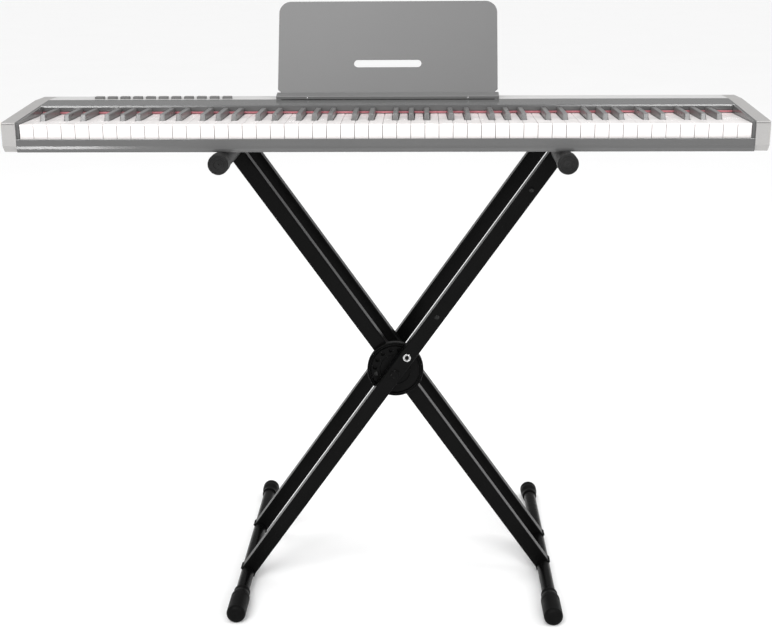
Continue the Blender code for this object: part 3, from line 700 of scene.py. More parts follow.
# %% [markdown]
# ## The stand's legs
# Each leg is a box-section tube with rounded corners, and its ends are coped, which means cut to the
# curve of the round tube that they meet. A ring of points carries the section, and at the two ends
# each point's height follows the round tube's surface, so no Boolean is needed.

# %% Make the four legs
LEG_CORNER = 2.6 * MM
BEAD_RADIUS = 1.5 * MM
LEG_STATIONS = (-1, -0.97, -0.5, -0.12, 0.12, 0.5, 0.97, 1)
LEGS = {f"leg_{letter}_{row}": (f"frame_{letter}", side)
        for letter, side in (("b", 1), ("a", -1)) for row in ("front", "rear")}


def leg_section(node):
    """The leg's section, as (across its face, along Y), around its own middle line."""
    low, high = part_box(node)
    return oblong((-LEG_FACE / 2, low.y), (LEG_FACE / 2, high.y), LEG_CORNER, 5)


def on_leg(side, across, y, along):
    """A point of a leg, from its place across the face and along the leg from the pivot."""
    lean = side * SPREAD
    x = along * math.sin(lean) + across * math.cos(lean)
    z = along * math.cos(lean) - across * math.sin(lean)
    return Vector((PIVOT.x + x, y, PIVOT.z + z))


def cope(across):
    """How far along the leg the round tube's surface lies, for a point across its face."""
    return REACH - math.sqrt(max(TUBE_RADIUS**2 - across**2, 0.0))


def make_leg(node, body, side):
    shape = bmesh.new()
    section = leg_section(node)
    rings = []
    for share in LEG_STATIONS:
        ends = [cope(u) if abs(share) == 1 else REACH - TUBE_RADIUS for u, y in section]
        rings.append([on_leg(side, u, y, share * end) for (u, y), end in zip(section, ends)])
    skin(shape, rings)
    piece(f"{node}_box_section", shape, STAND_BLACK, body, [node])


for node, (body, side) in LEGS.items():
    make_leg(node, body, side)


# %% Weld the legs to the base tubes
def weld_ring(node, side):
    """The closed path of a weld at a leg's lower end, a little outside the leg's own section."""
    return [on_leg(side, u * 1.04, y, -cope(u) + 0.4 * MM) for u, y in leg_section(node)]


def make_welds(body):
    points, links = [], []
    for node, (owner, side) in LEGS.items():
        if owner != body:
            continue
        ring, first = weld_ring(node, side), len(points)
        points += ring
        links += [(first + i, first + (i + 1) % len(ring)) for i in range(len(ring))]
    mesh = grow(WELD_TREE, seeds(points, links),
                Radius=BEAD_RADIUS, Step=0.9 * MM, Ripple=0.16, Finish=STAND_BLACK)
    piece(f"{body}_weld_beads", mesh, STAND_BLACK, body)


for body in ("frame_a", "frame_b"):
    make_welds(body)

# %% [markdown]
# ## Round tubes
# The arms that carry the piano and the tubes on the floor are plain drawn tube. They are turned with
# enough sides to look round, and their ends are open inside the rubber, as on the real stand.

# %% Make the arms and the base tubes
TUBE_WALL = 1.5 * MM


def make_tube(node, body):
    low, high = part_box(node)
    centre, length = middle(node), high.y - low.y
    r, w = TUBE_RADIUS, TUBE_WALL
    profile = [(r - w, 0.0), (r - 0.4 * MM, 0.0), (r, 0.4 * MM), (r, length - 0.4 * MM)]
    profile += [(r - 0.4 * MM, length), (r - w, length)]
    shape = bmesh.new()
    turn(shape, profile, (centre.x, low.y, centre.z))
    piece(f"{node}_drawn", shape, STAND_BLACK, body, [node])


TUBES = {"frame_a": ("arm_tube_left", "base_tube_right"), "frame_b": ("arm_tube_right", "base_tube_left")}
for body, nodes in TUBES.items():
    for node in nodes:
        make_tube(node, body)

# %% [markdown]
# ## Rubber feet, grips and pads
# A foot is a long moulded cup: a rounded nose, a straight barrel with a thin mould line, a tapered
# neck and a rolled mouth. A grip has a wider head, whose face carries a rim, a recess and a small
# moulding gate in the middle, and then a plain sleeve. All are turned, and the feet are then pressed
# flat where they stand.

# %% Profiles of the rubber pieces
SOCKET = TUBE_RADIUS + 0.3 * MM
RUBBER_END = 8 * MM


def foot_profile(length, radius):
    neck = TUBE_RADIUS + 2 * MM
    nose = 8 * MM
    profile = [(0.0, 0.0), (radius - nose, 0.0)]
    profile += arc((radius - nose, nose), nose, -80, 0, 7)
    mark = length - 32 * MM
    groove = radius - 0.7 * MM
    profile += [(radius, mark), (groove, mark + 0.6 * MM), (groove, mark + 1.8 * MM)]
    profile += [(radius, mark + 2.4 * MM), (radius, length - 24 * MM)]
    for k in range(1, 6):
        share = k / 6
        ease = share * share * (3 - 2 * share)
        profile.append((radius + (neck - radius) * ease, length - 24 * MM + 16 * MM * share))
    profile += [(neck, length - 7 * MM), (neck + 0.7 * MM, length - 5.5 * MM)]
    profile += arc((neck - 0.3 * MM, length - 1.2 * MM), 1.1 * MM, 0, 90, 3)
    return profile + [(SOCKET, length), (SOCKET, RUBBER_END), (0.0, RUBBER_END)]


def grip_profile(length, radius, sleeve):
    head = 26 * MM
    groove = radius - 0.6 * MM
    profile = mm((0, 0), (1.3, 0), (1.8, 1.4), (7.2, 1.6), (7.9, 0.5))
    profile += mm((9.2, 0.5), (9.9, 1.2), (13.6, 1.2), (14.2, 0))
    profile += arc((radius - 2.4 * MM, 2.4 * MM), 2.4 * MM, -80, 0, 5)
    profile += [(radius, head - 4 * MM), (groove, head - 3.6 * MM), (groove, head - 2.8 * MM)]
    profile += [(radius, head - 2.4 * MM), (radius, head - 0.8 * MM), (radius - 0.8 * MM, head)]
    profile += [(sleeve + 0.5 * MM, head + 0.8 * MM), (sleeve, head + 2.3 * MM), (sleeve, length - 0.8 * MM)]
    profile += [(sleeve - 0.8 * MM, length), (SOCKET, length)]
    return profile + [(SOCKET, RUBBER_END), (0.0, RUBBER_END)]


print("rubber profiles ready")


# %% Make the feet
def press_flat(shape):
    """Presses everything below the floor up onto it, as the weight of the piano does."""
    for vert in shape.verts:
        vert.co.z = max(vert.co.z, 0.0)


def end_of(node, heading):
    """The tip of a rubber piece, and how long it is. Heading 1 is a front piece, -1 a rear one."""
    low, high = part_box(node)
    centre = middle(node)
    return Vector((centre.x, low.y if heading > 0 else high.y, centre.z)), high.y - low.y


BASE_Z = middle("base_tube_left").z
for row, heading in (("front", 1), ("rear", -1)):
    for side, body in (("left", "frame_b"), ("right", "frame_a")):
        node = f"foot_{row}_{side}"
        tip, length = end_of(node, heading)
        tip.z = BASE_Z
        shape = bmesh.new()
        turn(shape, foot_profile(length, extent(node).x / 2), tip, heading, 56)
        press_flat(shape)
        piece(f"{node}_cup", shape, FOOT_BLACK, body, [node])

# %% Make the grips and the pads
SLEEVE = extent("arm_pad_left").x / 2
for row, heading in (("front", 1), ("rear", -1)):
    for side, body in (("left", "frame_a"), ("right", "frame_b")):
        node = f"arm_grip_{row}_{side}"
        tip, length = end_of(node, heading)
        shape = bmesh.new()
        turn(shape, grip_profile(length, extent(node).x / 2, SLEEVE), tip, heading, 56)
        piece(f"{node}_sleeve", shape, RUBBER_BLACK, body, [node])


def pad_profile(length):
    """A sleeve with shallow grooves, so that the piano doesn't slide on it."""
    profile = [(SOCKET, 0.0), (SLEEVE - 0.8 * MM, 0.0), (SLEEVE, 0.8 * MM)]
    count = int(length / (9 * MM))
    for i in range(1, count):
        spot = length * i / count
        profile += [(SLEEVE, spot - 1.2 * MM), (SLEEVE - 0.7 * MM, spot - 0.7 * MM)]
        profile += [(SLEEVE - 0.7 * MM, spot + 0.7 * MM), (SLEEVE, spot + 1.2 * MM)]
    return profile + [(SLEEVE, length - 0.8 * MM), (SLEEVE - 0.8 * MM, length), (SOCKET, length)]


for side, body in (("left", "frame_a"), ("right", "frame_b")):
    node = f"arm_pad_{side}"
    tip, length = end_of(node, 1)
    shape = bmesh.new()
    turn(shape, pad_profile(length), tip, 1, 40)
    piece(f"{node}_grooved", shape, RUBBER_BLACK, body, [node])

# %% [markdown]
# ## Locking disc, pivot and pin
# The disc is a steel pressing with a raised middle, a dished ring and a rolled double rim. Its row of
# holes catches the lock pin, so that the stand can be set to six heights. The holes are cut after the
# disc is turned. The pivot is a flanged hex bolt, with a locking nut behind.

# %% Make the disc
DISC_LOW, DISC_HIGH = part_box("locking_disc")
DISC_RADIUS = (DISC_HIGH.x - DISC_LOW.x) / 2
PIN_LOW, PIN_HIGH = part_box("lock_pin")
PIN = (PIN_LOW + PIN_HIGH) / 2
PIN_OFFSET = math.hypot(PIN.x - PIVOT.x, PIN.z - PIVOT.z)
DETENTS, DETENT_STEP = 6, math.radians(24)
DETENT_HOLE = mm((0, 0), (4.5, 0), (4.5, 8), (0, 8))


def disc_profile():
    thick = DISC_HIGH.y - DISC_LOW.y
    r = DISC_RADIUS
    seat, floor = PIN_OFFSET + 6.4 * MM, 4 * MM
    profile = [(5.5 * MM, thick)] + mm((5.5, 0), (13, 0), (14, 0.9), (28, 0.9), (29, 0))
    profile += [(seat - 0.6 * MM, 0.0), (seat, 0.6 * MM), (seat + 0.4 * MM, floor)]
    profile += [(r - 6.4 * MM, floor)]
    profile += arc((r - 4.9 * MM, 1.3 * MM), 1.3 * MM, 180, 320, 6)
    profile += [(r - 3.3 * MM, 1.9 * MM), (r - 2.9 * MM, 1.9 * MM)]
    profile += arc((r - 1.5 * MM, 1.5 * MM), 1.5 * MM, 200, 360, 7)
    return profile + [(r, thick - 0.8 * MM), (r - 0.8 * MM, thick)]


shape = bmesh.new()
turn(shape, disc_profile(), (PIVOT.x, DISC_LOW.y, PIVOT.z), 1, 96)
holes = bmesh.new()
for i in range(DETENTS):
    angle = SPREAD - DETENT_STEP * i
    spot = PIVOT + Vector((math.sin(angle), 0, math.cos(angle))) * PIN_OFFSET
    turn(holes, DETENT_HOLE, (spot.x, DISC_LOW.y - 3 * MM, spot.z), 1, 28)
mesh = cut(cleaned(shape, "disc"), holes)
piece("locking_disc_pressed", mesh, STAND_BLACK, "frame_a", ["locking_disc"])


# %% Make the pivot bolt and its nut
def hexagon(shape, centre, width, depth, edge, heading=1, turned=0.0):
    """A six-sided head or nut along Y, with its outer corners taken off."""
    angles = [turned + math.pi / 3 * i for i in range(6)]
    ways = [Vector((math.cos(a), 0, math.sin(a))) for a in angles]
    levels = [(0.0, width - edge * 1.4), (edge * 0.7, width), (depth, width)]
    skin(shape, [[Vector(centre) + Vector((0, d * heading, 0)) + way * r for way in ways] for d, r in levels])


BOLT_LOW, BOLT_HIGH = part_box("pivot_bolt")
LEG_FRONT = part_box("leg_b_front")[0].y
LEG_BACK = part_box("leg_b_rear")[1].y
shape = bmesh.new()
flange = mm((0, 0.9), (7.6, 0.9), (8.8, 1.4), (9, 1.9), (9, 2.4), (0, 2.4))
turn(shape, flange, (PIVOT.x, LEG_FRONT - 2.4 * MM, PIVOT.z), 1, 40)
BOLT_TURNED = 0.35
hexagon(shape, (PIVOT.x, BOLT_LOW.y, PIVOT.z), 7.2 * MM, 4 * MM, 0.9 * MM, 1, BOLT_TURNED)
length = BOLT_HIGH.y - LEG_FRONT
shank = mm((0, 0), (5, 0)) + [(5 * MM, length - 0.8 * MM), (4.2 * MM, length), (0.0, length)]
turn(shape, shank, (PIVOT.x, LEG_FRONT, PIVOT.z), 1, 32)
piece("pivot_bolt_flanged", shape, STAND_BLACK, "stand_hub", ["pivot_bolt"])

shape = bmesh.new()
nut_low, nut_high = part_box("pivot_nut")
turn(shape, mm((5.2, 0), (8.6, 0), (8.6, 1), (5.2, 1)), (PIVOT.x, nut_low.y, PIVOT.z), 1, 40)
depth = nut_high.y - nut_low.y - 2.4 * MM
hexagon(shape, (PIVOT.x, nut_high.y - 1.6 * MM, PIVOT.z), 8.3 * MM, depth, 0.8 * MM, -1)
lock = mm((5.1, 0), (6.6, 0), (6.6, 1.4), (5.9, 2.2), (5.1, 2.2))
turn(shape, lock, (PIVOT.x, nut_high.y - 2.2 * MM, PIVOT.z), 1, 40)
piece("pivot_nut_locking", shape, STAND_BLACK, "stand_hub", ["pivot_nut"])

# %% Make the lock pin
shape = bmesh.new()
pin_length = PIN_HIGH.y - PIN_LOW.y
washer = mm((4, 3.9), (5.6, 3.6)) + arc((6.3 * MM, 3.5 * MM), 1.2 * MM, 200, 350, 8) + mm((7.4, 3.9))
dome = mm((0, 0), (1.8, 0.1), (3.6, 0.6), (4.9, 1.4), (5.6, 2.3), (5.7, 3), (4, 3))
nose = [(4.0 * MM, pin_length - 1 * MM), (3.0 * MM, pin_length), (0.0, pin_length)]
turn(shape, dome + nose, (PIN.x, PIN_LOW.y, PIN.z), 1, 40)
cross = bmesh.new()
CROSS_LENGTH, CROSS_WIDTH = 4.6, 1.1
for across, along in ((CROSS_LENGTH, CROSS_WIDTH), (CROSS_WIDTH, CROSS_LENGTH)):
    half = Vector((across, 0, along)) * MM / 2
    near, far = (Vector((PIN.x, PIN_LOW.y + depth, PIN.z)) for depth in (-1 * MM, 1.7 * MM))
    block(cross, near - half, far + half)
pin_mesh = cut(cleaned(shape, "pin"), cross)
joined = bmesh.new()
joined.from_mesh(pin_mesh)
turn(joined, washer, (PIN.x, PIN_LOW.y, PIN.z), 1, 40)
piece("lock_pin_cross_head", joined, CHROME, "lock_pin", ["lock_pin"])

# %% Set the small screws in the stand
AHEAD, BEHIND = (0, -1, 0), (0, 1, 0)


def leg_screws(side, front, back, heights):
    """Places for screws on the outer faces of a pair of legs."""
    found = [(on_leg(side, 0, front - 0.8 * MM, h), AHEAD) for h in heights]
    return found + [(on_leg(side, 0, back + 0.8 * MM, h), BEHIND) for h in heights]


SCREW_HEIGHTS = (0.133, 0.42)
DISC_SCREW = Vector((PIVOT.x - 35 * MM, DISC_LOW.y - 0.5 * MM, PIVOT.z - 9 * MM))
outer = leg_screws(1, LEG_FRONT, LEG_BACK, SCREW_HEIGHTS)
inner = [(DISC_SCREW, AHEAD)]
for body, places in (("frame_b", outer), ("frame_a", inner)):
    mesh = grow(SCREW_TREE, seeds([p for p, a in places], aims=[a for p, a in places]),
                Radius=4.6 * MM, Height=1.8 * MM, Finish=SCREW_BLACK)
    piece(f"{body}_screws", mesh, SCREW_BLACK, body)

# %% [markdown]
# ## The casing
# The piano's case is six mouldings: a grey tray that holds everything, a rail in front of the keys,
# two silver end caps, a sloping band behind the keys and the silver deck. Each is drawn as a side
# outline with rounded corners and run along the piano, because that is how such long thin parts keep
# one section from end to end.

# %% Make the front rail
RAIL_BACK, RAIL_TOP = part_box("front_rail")[1].y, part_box("front_rail")[1].z
outline = rounded([
    (FRONT + 2.4 * MM, UNDER, 1.6 * MM), (RAIL_BACK, UNDER, 0), (RAIL_BACK, RAIL_TOP, 0),
    (FRONT + 1.1 * MM, RAIL_TOP, 1.0 * MM), (FRONT + 0.65 * MM, UNDER + 10.6 * MM, 3.0 * MM),
    (FRONT, UNDER + 6.0 * MM, 1.2 * MM), (FRONT + 0.4 * MM, UNDER + 3.0 * MM, 2.0 * MM),
])
shape = bmesh.new()
bar(shape, outline, -RIM_HALF, RIM_HALF)
piece("front_rail_moulded", shape, SHELL_GREY, "piano", ["front_rail"], CRISP)

# %% Make the end caps
FRONT_TOP = UNDER + 50 * MM
LEVEL_Y = FRONT + 198 * MM


def make_cap(side, word):
    low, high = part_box(f"end_cap_{word}")
    outline = rounded([
        (FRONT, UNDER + 11 * MM, 3.0 * MM), (FRONT + 9 * MM, UNDER, 3.0 * MM),
        (BACK - 3 * MM, UNDER, 1.5 * MM), (BACK, UNDER + 3 * MM, 1.5 * MM), (BACK, DECK_TOP, 3.0 * MM),
        (LEVEL_Y, DECK_TOP, 14 * MM), (FRONT + 0.6 * MM, FRONT_TOP, 1.4 * MM),
    ], 5)
    shape = bmesh.new()
    inner_to_outer = (low.x, high.x) if side > 0 else (high.x, low.x)
    loops = skin(shape, [[(x, p[0], p[1]) for p in outline] for x in inner_to_outer])
    soften(shape, ring_edges(loops[1]), 2.2 * MM, 4)
    seam = bmesh.new()
    seam_low = (low.x - MM, FRONT - MM, FRONT_TOP - 3.2 * MM)
    block(seam, seam_low, (high.x + MM, FRONT + 2.4 * MM, FRONT_TOP - 1.6 * MM))
    mesh = cut(cleaned(shape, "cap"), seam)
    piece(f"end_cap_{word}_painted", mesh, CAP_SILVER, "piano", [f"end_cap_{word}"])


for side, word in ((-1, "left"), (1, "right")):
    make_cap(side, word)


# %% [markdown]
# The tray's side walls show as dark cheeks between the caps and the outer keys. Its underside is what
# a player sees when carrying it: vents below the speakers and two rows of screws. The vents are grown
# by a tree that sets a grid of rounded blades and takes them out of the floor.


# %% The vent tree
def vent_tree():
    sizes = {"Columns": "Int", "Rows": "Int", "Finish": "Material"}
    sizes.update(dict.fromkeys(("Pitch", "Slot", "Centre"), "Vector"))
    g = Grower("vent_slots", sizes)
    blade = g.node("GeometryNodeMeshCylinder", None, {"Vertices": 12, "Radius": 0.5, "Depth": 1.0})
    blade = g.node("GeometryNodeTransform", None, {"Geometry": blade, "Scale": g.given("Slot")})
    pitch = g.node("ShaderNodeSeparateXYZ", None, {"Vector": g.given("Pitch")})
    across = Wire(g, pitch.socket.node.outputs["Y"])
    columns, rows = g.given("Columns"), g.given("Rows")
    size = {"Size X": pitch * (columns - 1), "Size Y": across * (rows - 1)}
    grid = g.node("GeometryNodeMeshGrid", None, {**size, "Vertices X": columns, "Vertices Y": rows})
    grid = g.node("GeometryNodeTransform", None, {"Geometry": grid, "Translation": g.given("Centre")})
    blades = g.node("GeometryNodeInstanceOnPoints", None, {"Points": grid, "Instance": blade})
    blades = g.node("GeometryNodeRealizeInstances", None, {"Geometry": blades})
    pair = {"Mesh 1": g.given("Geometry"), "Mesh 2": blades}
    settings = {"operation": "DIFFERENCE", "solver": "EXACT"}
    return g.end(g.node("GeometryNodeMeshBoolean", settings, pair))


VENT_TREE = vent_tree()
print("vent tree", len(VENT_TREE.nodes), "nodes")

# %% Make the tray
SKIN = 2.5 * MM
SHELL_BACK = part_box("bottom_shell")[1].y
SHELL_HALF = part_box("bottom_shell")[1].x
FASCIA_LOW, FASCIA_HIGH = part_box("fascia")
INLET_LOW, INLET_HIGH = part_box("power_inlet")


def slope_height(y):
    """Height of the caps' top edge at depth y."""
    return FRONT_TOP + (DECK_TOP - FRONT_TOP) * min((y - FRONT) / (LEVEL_Y - FRONT), 1.0)


shape = bmesh.new()
wall_top = DECK_TOP - SKIN - 0.6 * MM
front = RAIL_BACK + 0.3 * MM
outline = rounded([
    (front, UNDER, 0), (SHELL_BACK, UNDER, 3 * MM), (SHELL_BACK, wall_top, 0),
    (SHELL_BACK - SKIN, wall_top, 0), (SHELL_BACK - SKIN, UNDER + SKIN, 2 * MM), (front, UNDER + SKIN, 0),
])
bar(shape, outline, -SHELL_HALF, SHELL_HALF)
floor_mesh = cleaned(shape, "tray_floor")
holes = bmesh.new()
half = (INLET_HIGH - INLET_LOW) / 2 + Vector((0.3, 6, 0.3)) * MM
centre = (INLET_LOW + INLET_HIGH) / 2
block(holes, centre - half, centre + half)
JACK_PLACES = [centre.x - 60 * MM, centre.x - 85 * MM]
JACK_HOLE = mm((0, 0), (5.2, 0), (5.2, 12), (0, 12))
for x in JACK_PLACES:
    turn(holes, JACK_HOLE, (x, SHELL_BACK - 6 * MM, centre.z), 1, 32)
tray = cut(floor_mesh, holes)
VENT_PITCH, VENT_SLOT = mm((13, 7, 0), (10, 3, 8))
for word in ("left", "right"):
    spot = middle(f"speaker_{word}")
    tray = grow(VENT_TREE, tray, Columns=5, Rows=6, Pitch=VENT_PITCH, Slot=VENT_SLOT,
                Centre=(spot.x, spot.y, UNDER), Finish=SHELL_GREY)
whole = bmesh.new()
whole.from_mesh(tray)
CHEEK = 4.8 * MM
cheek_back = FASCIA_LOW.y - 0.4 * MM
for side in (-1, 1):
    low, high = sorted((side * SHELL_HALF, side * (SHELL_HALF - CHEEK)))
    foot, top = UNDER + 1 * MM, slope_height(cheek_back)
    cheek = [(front, foot), (cheek_back, foot), (cheek_back, top - 0.8 * MM)]
    bar(whole, cheek + [(front, slope_height(front) - 0.8 * MM)], low, high)
    rear = [(cheek_back, foot), (SHELL_BACK - 1 * MM, foot), (SHELL_BACK - 1 * MM, wall_top)]
    bar(whole, rear + [(LEVEL_Y, wall_top), (cheek_back, top - SKIN - 1.5 * MM)], low, high)
piece("bottom_tray", whole, SHELL_GREY, "piano", ["bottom_shell"])

# %% Fit the screws and sockets of the tray
SCREW_COLUMNS = (-0.6, -0.36, -0.12, 0.12, 0.36, 0.6)
SCREW_ROWS = (FRONT + 20 * MM, BACK - 60 * MM)
places = [(x, y, UNDER) for x in SCREW_COLUMNS for y in SCREW_ROWS]
mesh = grow(SCREW_TREE, seeds(places, aims=[(0, 0, -1)] * len(places)),
            Radius=3.4 * MM, Height=0.5 * MM, Finish=SCREW_BLACK)
piece("tray_screws", mesh, SCREW_BLACK, "piano")

shape = bmesh.new()
block(shape, INLET_LOW, INLET_HIGH, 0.5 * MM, 1)
bore, inlet = bmesh.new(), bmesh.new()
hole = mm((0, 0), (2.75, 0), (2.75, 12), (0, 12))
turn(bore, hole, (centre.x, INLET_HIGH.y - 9 * MM, centre.z), 1, 28)
inlet.from_mesh(cut(cleaned(shape, "inlet"), bore))
contact = mm((0, 0), (1, 0), (1, 7), (0.6, 7.6), (0, 7.6))
turn(inlet, contact, (centre.x, INLET_HIGH.y - 9.2 * MM, centre.z), 1, 16)
piece("power_inlet_socket", inlet, SOCKET_BLACK, "piano", ["power_inlet"])

shape = bmesh.new()
ring = mm((3.2, -9), (5, -9), (5, -0.5), (4.4, 0.1), (3.4, 0.1), (3.2, -0.2))
for x in JACK_PLACES:
    turn(shape, ring, (x, SHELL_BACK, centre.z), 1, 32)
piece("rear_jacks", shape, SOCKET_BLACK, "piano")

# %% [markdown]
# The band behind the keys ends in a rounded lip that hangs a little over the felt. The lip catches
# the light as one thin line along the keyboard, so its curve matters more than its size.

# %% Make the fascia
lip, lip_top = FASCIA_LOW.y, slope_height(FASCIA_LOW.y)
LIP_SPAN = SHELL_HALF - CHEEK - 0.3 * MM
slope = [(LEVEL_Y, DECK_TOP - SKIN, 0), (FASCIA_HIGH.y, DECK_TOP - SKIN, 0)]
slope += [(FASCIA_HIGH.y, DECK_TOP, 0.4 * MM), (LEVEL_Y, DECK_TOP, 10 * MM)]
slope += [(lip + 0.85 * MM, lip_top, 0.3 * MM), (lip, lip_top - 3.4 * MM, 0)]
shape = bmesh.new()
bar(shape, rounded(slope, 6), FASCIA_LOW.x, FASCIA_HIGH.x)
drop = [(lip, FASCIA_LOW.z, 0.7 * MM), (lip + SKIN, FASCIA_LOW.z, 0.7 * MM)]
drop += [(lip + SKIN, lip_top - 3 * MM, 0), (lip, lip_top - 3 * MM, 0)]
bar(shape, rounded(drop), -LIP_SPAN, LIP_SPAN)
piece("fascia_lipped", shape, SHELL_GREY, "piano", ["fascia"], CRISP)

# %% [markdown]
# The deck has a window for each button and two slots for the rest's tabs. The windows' places come
# from the buttons' own boxes, and the slots' from the rest. It is cut from one plate, so that the
# holes have real walls.

# %% Make the deck
REST_LEAN = math.radians(23.6)
LEAN = Matrix.Rotation(-REST_LEAN, 4, "X")
DECK_LOW, DECK_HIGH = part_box("rear_deck")
REST_LOW, REST_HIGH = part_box("music_rest")
REST_BASE = Vector(((REST_LOW.x + REST_HIGH.x) / 2, DECK_LOW.y + 6 * MM, DECK_TOP + 0.3 * MM))
REST_PLACE = Matrix.Translation(REST_BASE) @ LEAN
TAB_X, TAB_HALF, SHEET = 150 * MM, 30 * MM, 3 * MM
outline = rounded([(DECK_LOW.y, DECK_TOP - SKIN, 0), (DECK_HIGH.y, DECK_TOP - SKIN, 0),
                   (DECK_HIGH.y, DECK_TOP, 2.0 * MM), (DECK_LOW.y, DECK_TOP, 0.5 * MM)])
shape = bmesh.new()
bar(shape, outline, DECK_LOW.x, DECK_HIGH.x)
holes = bmesh.new()
BUTTONS = [f"button_{i:02d}" for i in range(1, 12)]
for name in BUTTONS:
    low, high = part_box(name)
    margin = Vector((0.5, 0.5, 4)) * MM
    block(holes, low - margin, high + margin)
mesh = cut(cleaned(shape, "deck"), holes)
holes = bmesh.new()
for x in (-TAB_X, TAB_X):
    half = TAB_HALF + 0.5 * MM
    block(holes, (x - half, -SHEET - 0.5 * MM, -12 * MM), (x + half, 0.5 * MM, 8 * MM))
bmesh.ops.transform(holes, matrix=REST_PLACE, verts=holes.verts)
mesh = cut(mesh, holes)
piece("rear_deck_plate", mesh, DECK_SILVER, "piano", ["rear_deck"])

# %% [markdown]
# ## Buttons
# Each button is its own moving body, so each is its own piece: a cap with rounded edges and a shallow
# finger dish in its top. The dish is a grid of points that sink towards the middle.

# %% Make the eleven buttons
DISH = 0.5 * MM


def make_button(name):
    low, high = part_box(name)
    shape = bmesh.new()
    centre, half = (low + high) / 2, (high - low) / 2
    rings = []
    levels = [(low.z, 0.3 * MM)]
    levels += [(high.z - d, i) for d, i in mm((1.5, 0), (0.6, 0.25), (0.15, 0.8), (0, 1.6))]
    levels += [(high.z - DISH * 0.5, 3.2 * MM), (high.z - DISH, 4.6 * MM)]
    for z, inset in levels:
        w, d, r = half.x - inset, half.y - inset, max(1.8 * MM - inset * 0.3, 0.3 * MM)
        rings.append([(centre.x + p[0], centre.y + p[1], z) for p in oblong((-w, -d), (w, d), r)])
    skin(shape, rings)
    piece(f"{name}_cap", shape, BUTTON_DARK, name, [name])


for name in BUTTONS:
    make_button(name)

# %% [markdown]
# ## Music rest
# The rest is one moulding: a leaning sheet with round upper corners and a finger slot, a ledge with a
# raised lip that stops the pages sliding off, small webs between the two, and two tabs that drop into
# the deck. The sheet and its tabs are made upright and then leaned back as a whole.

# %% Make the rest
REST_HALF = (REST_HIGH.x - REST_LOW.x) / 2
REST_HEIGHT = 183 * MM
SLOT_HALF, SLOT_MIDDLE = Vector((61.5, 7.25)) * MM, REST_HEIGHT - 118 * MM


def upright(outline, low, high, shape, edge):
    """An (x, z) outline made a sheet between two depths, with both faces' edges rounded."""
    loops = skin(shape, [[(p[0], y, p[1]) for p in outline] for y in (high, low)])
    soften(shape, ring_edges(loops[0]) + ring_edges(loops[1]), edge, 2)


w, h, r = REST_HALF, REST_HEIGHT, 22 * MM
shape = bmesh.new()
foot, step = 12 * MM, 5 * MM
leaf = [(-w + step, 0, 0), (w - step, 0, 0), (w - step, foot, 1 * MM), (w, foot + 4 * MM, 2 * MM)]
leaf += [(w, h, r), (-w, h, r), (-w, foot + 4 * MM, 2 * MM), (-w + step, foot, 1 * MM)]
upright(rounded(leaf, 10), -SHEET, 0.0, shape, 0.9 * MM)
holes = bmesh.new()
sx, sz = SLOT_HALF
slot = oblong((-sx, SLOT_MIDDLE - sz), (sx, SLOT_MIDDLE + sz), 7 * MM, 8)
upright(slot, -SHEET - 5 * MM, 5 * MM, holes, 0.1 * MM)
sheet = bmesh.new()
sheet.from_mesh(cut(cleaned(shape, "rest"), holes))
for x in (-TAB_X, TAB_X):
    left, right = x - TAB_HALF + 0.1 * MM, x + TAB_HALF - 0.1 * MM
    block(sheet, (left, -SHEET + 0.1 * MM, -9 * MM), (right, -0.1 * MM, 3 * MM), 0.5 * MM, 1)
bmesh.ops.transform(sheet, matrix=REST_PLACE, verts=sheet.verts)


def from_rest(points):
    """Ledge points, in mm from the rest's foot, as (y, z) of the world."""
    return [(REST_BASE.y + y * MM, REST_BASE.z + z * MM, *(r * MM for r in more)) for y, z, *more in points]


ledge_half = REST_HALF + 1.5 * MM
ledge = [(-16.0, 0.4, 0.5), (-13.6, 0.4, 0.5), (-14.0, 3.6, 0.5), (-1.0, 7.6, 0)]
ledge = rounded(from_rest(ledge + [(1.0, 7.6, 0), (2.3, 10.9, 0), (-16.6, 5.8, 1.6)]), 6)
bar(sheet, ledge, REST_BASE.x - ledge_half, REST_BASE.x + ledge_half, 0.4 * MM, 1)
web = from_rest([(-14.6, 0.8), (-1.5, 0.8), (-0.5, 8.0), (-14.6, 4.2)])
WEBS_EACH_SIDE = 5
for i in range(2 * WEBS_EACH_SIDE + 1):
    x = REST_BASE.x + (ledge_half - 1.4 * MM) * (i / WEBS_EACH_SIDE - 1)
    bar(sheet, web, x - 0.9 * MM, x + 0.9 * MM)
piece("music_rest_moulded", sheet, REST_GREY, "music_rest", ["music_rest"])
SCREWS_APART = 290 * MM
spots = [REST_BASE + Vector((side * SCREWS_APART / 2, -16.0 * MM, 2.9 * MM)) for side in (-1, 1)]
mesh = grow(SCREW_TREE, seeds(spots, aims=[AHEAD, AHEAD]), Radius=1.9 * MM, Height=0.7 * MM, Finish=CHROME)
piece("music_rest_screws", mesh, CHROME, "music_rest")

# %% [markdown]
# ## Keys
# Keys are moulded in combs of about an octave, and each comb moves as one body. A white key is drawn
# from above, because its tail narrows beside its black neighbours. Its top plate hangs over its front
# by a hair, as on a real key, and all its upper edges are rounded.

